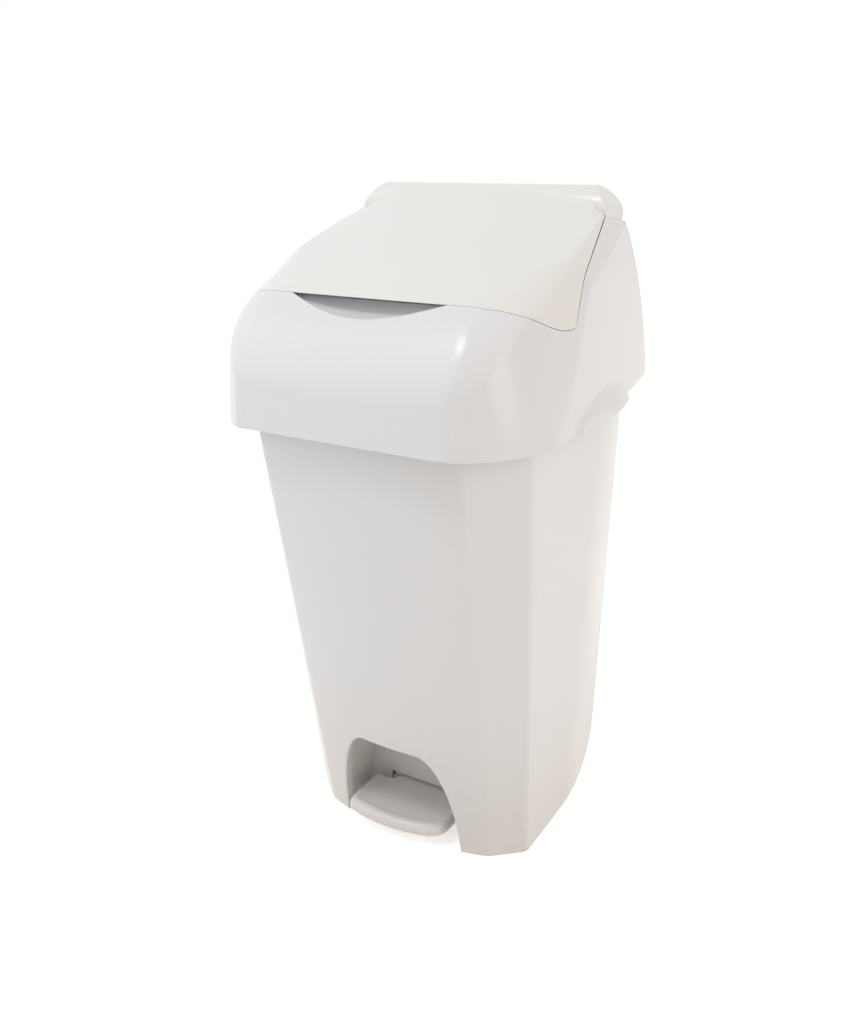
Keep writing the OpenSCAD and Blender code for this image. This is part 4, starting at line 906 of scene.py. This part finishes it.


# the third colour of each plastic is its painted warm shade at the foot
looks = dict(
    shell=mouldedPlastic("shellWhite", colour(232, 231, 232), colour(222, 220, 221), colour(214, 206, 196)),
    flap=mouldedPlastic("flapCream", colour(237, 235, 232), colour(230, 227, 223), colour(226, 222, 214),
                        0.32),
    inside=mouldedPlastic("innerWhite", colour(228, 227, 226), colour(216, 214, 212), colour(208, 203, 196),
                          0.4, False),
    rubber=rubberLook(), nylon=nylonLook(), steel=steelLook())
print("materials ready")

# The pieces
wall, (line0, line1) = tubWall()
hoodMesh = hoodSkin()
flapMesh = joined([flapSheet(), rollShell()] + flapInside())
tubMesh = joined([wall] + tubRecess() + tubFloor(line0, line1))
treadMesh = joined(treadSkin())
meshPiece("hoodSkin", *hoodMesh, "hood", looks["shell"], 38, ["hood_shell"], "shell_white")
meshPiece("flapSkin", *flapMesh, "lid", looks["flap"], 38, ["lid_flap"], "flap_cream")
meshPiece("tubSkin", *tubMesh, "tub", looks["shell"], 38, ["tub_shell"], "shell_white")
meshPiece("treadSkin", *treadMesh, "pedal", looks["shell"], 38, ["foot_pedal"], "shell_white")
print("skins ready")

# The frame's own nodes that stay
nodeLook = dict(shell_white="inside", flap_cream="flap", rubber="rubber", nylon="nylon", steel="steel")
slotOf = {p["node"]: p["material_slot"] for p in frame["record"]["subparts"]}
for node, ob in frame["nodes"].items():
    ob.data.materials.clear()
    ob.data.materials.append(looks[nodeLook[slotOf[node]]])
print("frame dressed")

# Studio: pale floor, white surroundings and soft lamps
studio = dict(floor=colour(240, 237, 232), floorWhite=0.6, surround=0.6, lamps=(
    # place, aim, width, height, watts, colour
    ((-1.5, -1.1, 1.3), (0, 0, 0.38), 1.8, 1.6, 8.0, (0.92, 0.96, 1.0)),
    ((-0.5, -1.15, 2.3), (0, -0.1, 0.3), 0.5, 0.5, 10.0, (1.0, 1.0, 1.0)),
    ((1.9, -0.2, 0.9), (0, 0, 0.35), 1.0, 1.3, 8.0, (1.0, 0.88, 0.77))))


def aimed(place, target):  # turn that points an object's -Z from place to target
    return (Vector(target) - Vector(place)).to_track_quat("-Z", "Y").to_euler()


def seenDirectly(tree):  # 1 for what the camera sees, also in a reflection or through glass
    path = tree.nodes.new("ShaderNodeLightPath")
    total = path.outputs["Is Camera Ray"]
    for name in ("Is Glossy Ray", "Is Transmission Ray"):
        most = tree.nodes.new("ShaderNodeMath")
        most.operation = "MAXIMUM"
        tree.links.new(total, most.inputs[0])
        tree.links.new(path.outputs[name], most.inputs[1])
        total = most.outputs[0]
    return total


def buildStudio():  # floor, world and lamps; the floor and the world are white only to the camera
    me = bpy.data.meshes.new("floor")
    me.from_pydata([(-9, -9, 0), (9, -9, 0), (9, 9, 0), (-9, 9, 0)], [], [(0, 1, 2, 3)])
    floor = bpy.data.objects.new("floor", me)
    bpy.context.scene.collection.objects.link(floor)
    look = Look("floorWhite")
    look.set(Base_Color=studio["floor"], Roughness=0.9)
    look.shader.inputs["Specular IOR Level"].default_value = 0.1
    t = look.tree
    glow, both, seen = (t.nodes.new("ShaderNode" + k) for k in ("Emission", "AddShader", "MixShader"))
    glow.inputs["Strength"].default_value = studio["floorWhite"]
    t.links.new(look.shader.outputs[0], both.inputs[0])
    t.links.new(glow.outputs[0], both.inputs[1])
    t.links.new(seenDirectly(t), seen.inputs[0])
    t.links.new(look.shader.outputs[0], seen.inputs[1])
    t.links.new(both.outputs[0], seen.inputs[2])
    t.links.new(seen.outputs[0], t.nodes["Material Output"].inputs[0])
    me.materials.append(look.material)
    world = bpy.data.worlds.new("studio")
    bpy.context.scene.world = world
    world.use_nodes = True
    nt = world.node_tree
    nt.nodes.clear()
    kinds = ("Background", "Background", "MixShader", "OutputWorld")
    soft, white, pick, out = (nt.nodes.new("ShaderNode" + k) for k in kinds)
    soft.inputs["Strength"].default_value = studio["surround"]
    white.inputs["Strength"].default_value = 1.0
    for n in (soft, white):
        n.inputs["Color"].default_value = (1, 1, 1, 1)
    nt.links.new(seenDirectly(nt), pick.inputs[0])
    nt.links.new(soft.outputs[0], pick.inputs[1])
    nt.links.new(white.outputs[0], pick.inputs[2])
    nt.links.new(pick.outputs[0], out.inputs[0])
    for i, (place, target, w, h, watts, tint) in enumerate(studio["lamps"]):
        lamp = bpy.data.lights.new("lamp%d" % i, "AREA")
        lamp.shape, lamp.size, lamp.size_y, lamp.energy, lamp.color = "RECTANGLE", w, h, watts, tint
        ob = bpy.data.objects.new("lamp%d" % i, lamp)
        ob.location, ob.rotation_euler = place, aimed(place, target)
        bpy.context.scene.collection.objects.link(ob)


buildStudio()
view = dict(place=(0.523, -0.9315, 0.745), turn=(70.2, 0.0, 30.9), lens=34.7)
camera = bpy.data.objects.new("camera", bpy.data.cameras.new("camera"))
camera.data.lens, camera.data.sensor_width = view["lens"], 36.0
camera.location, camera.rotation_euler = view["place"], [math.radians(d) for d in view["turn"]]
bpy.context.scene.collection.objects.link(camera)
bpy.context.scene.camera = camera
bpy.context.scene.view_settings.view_transform = "Standard"
print("studio ready")
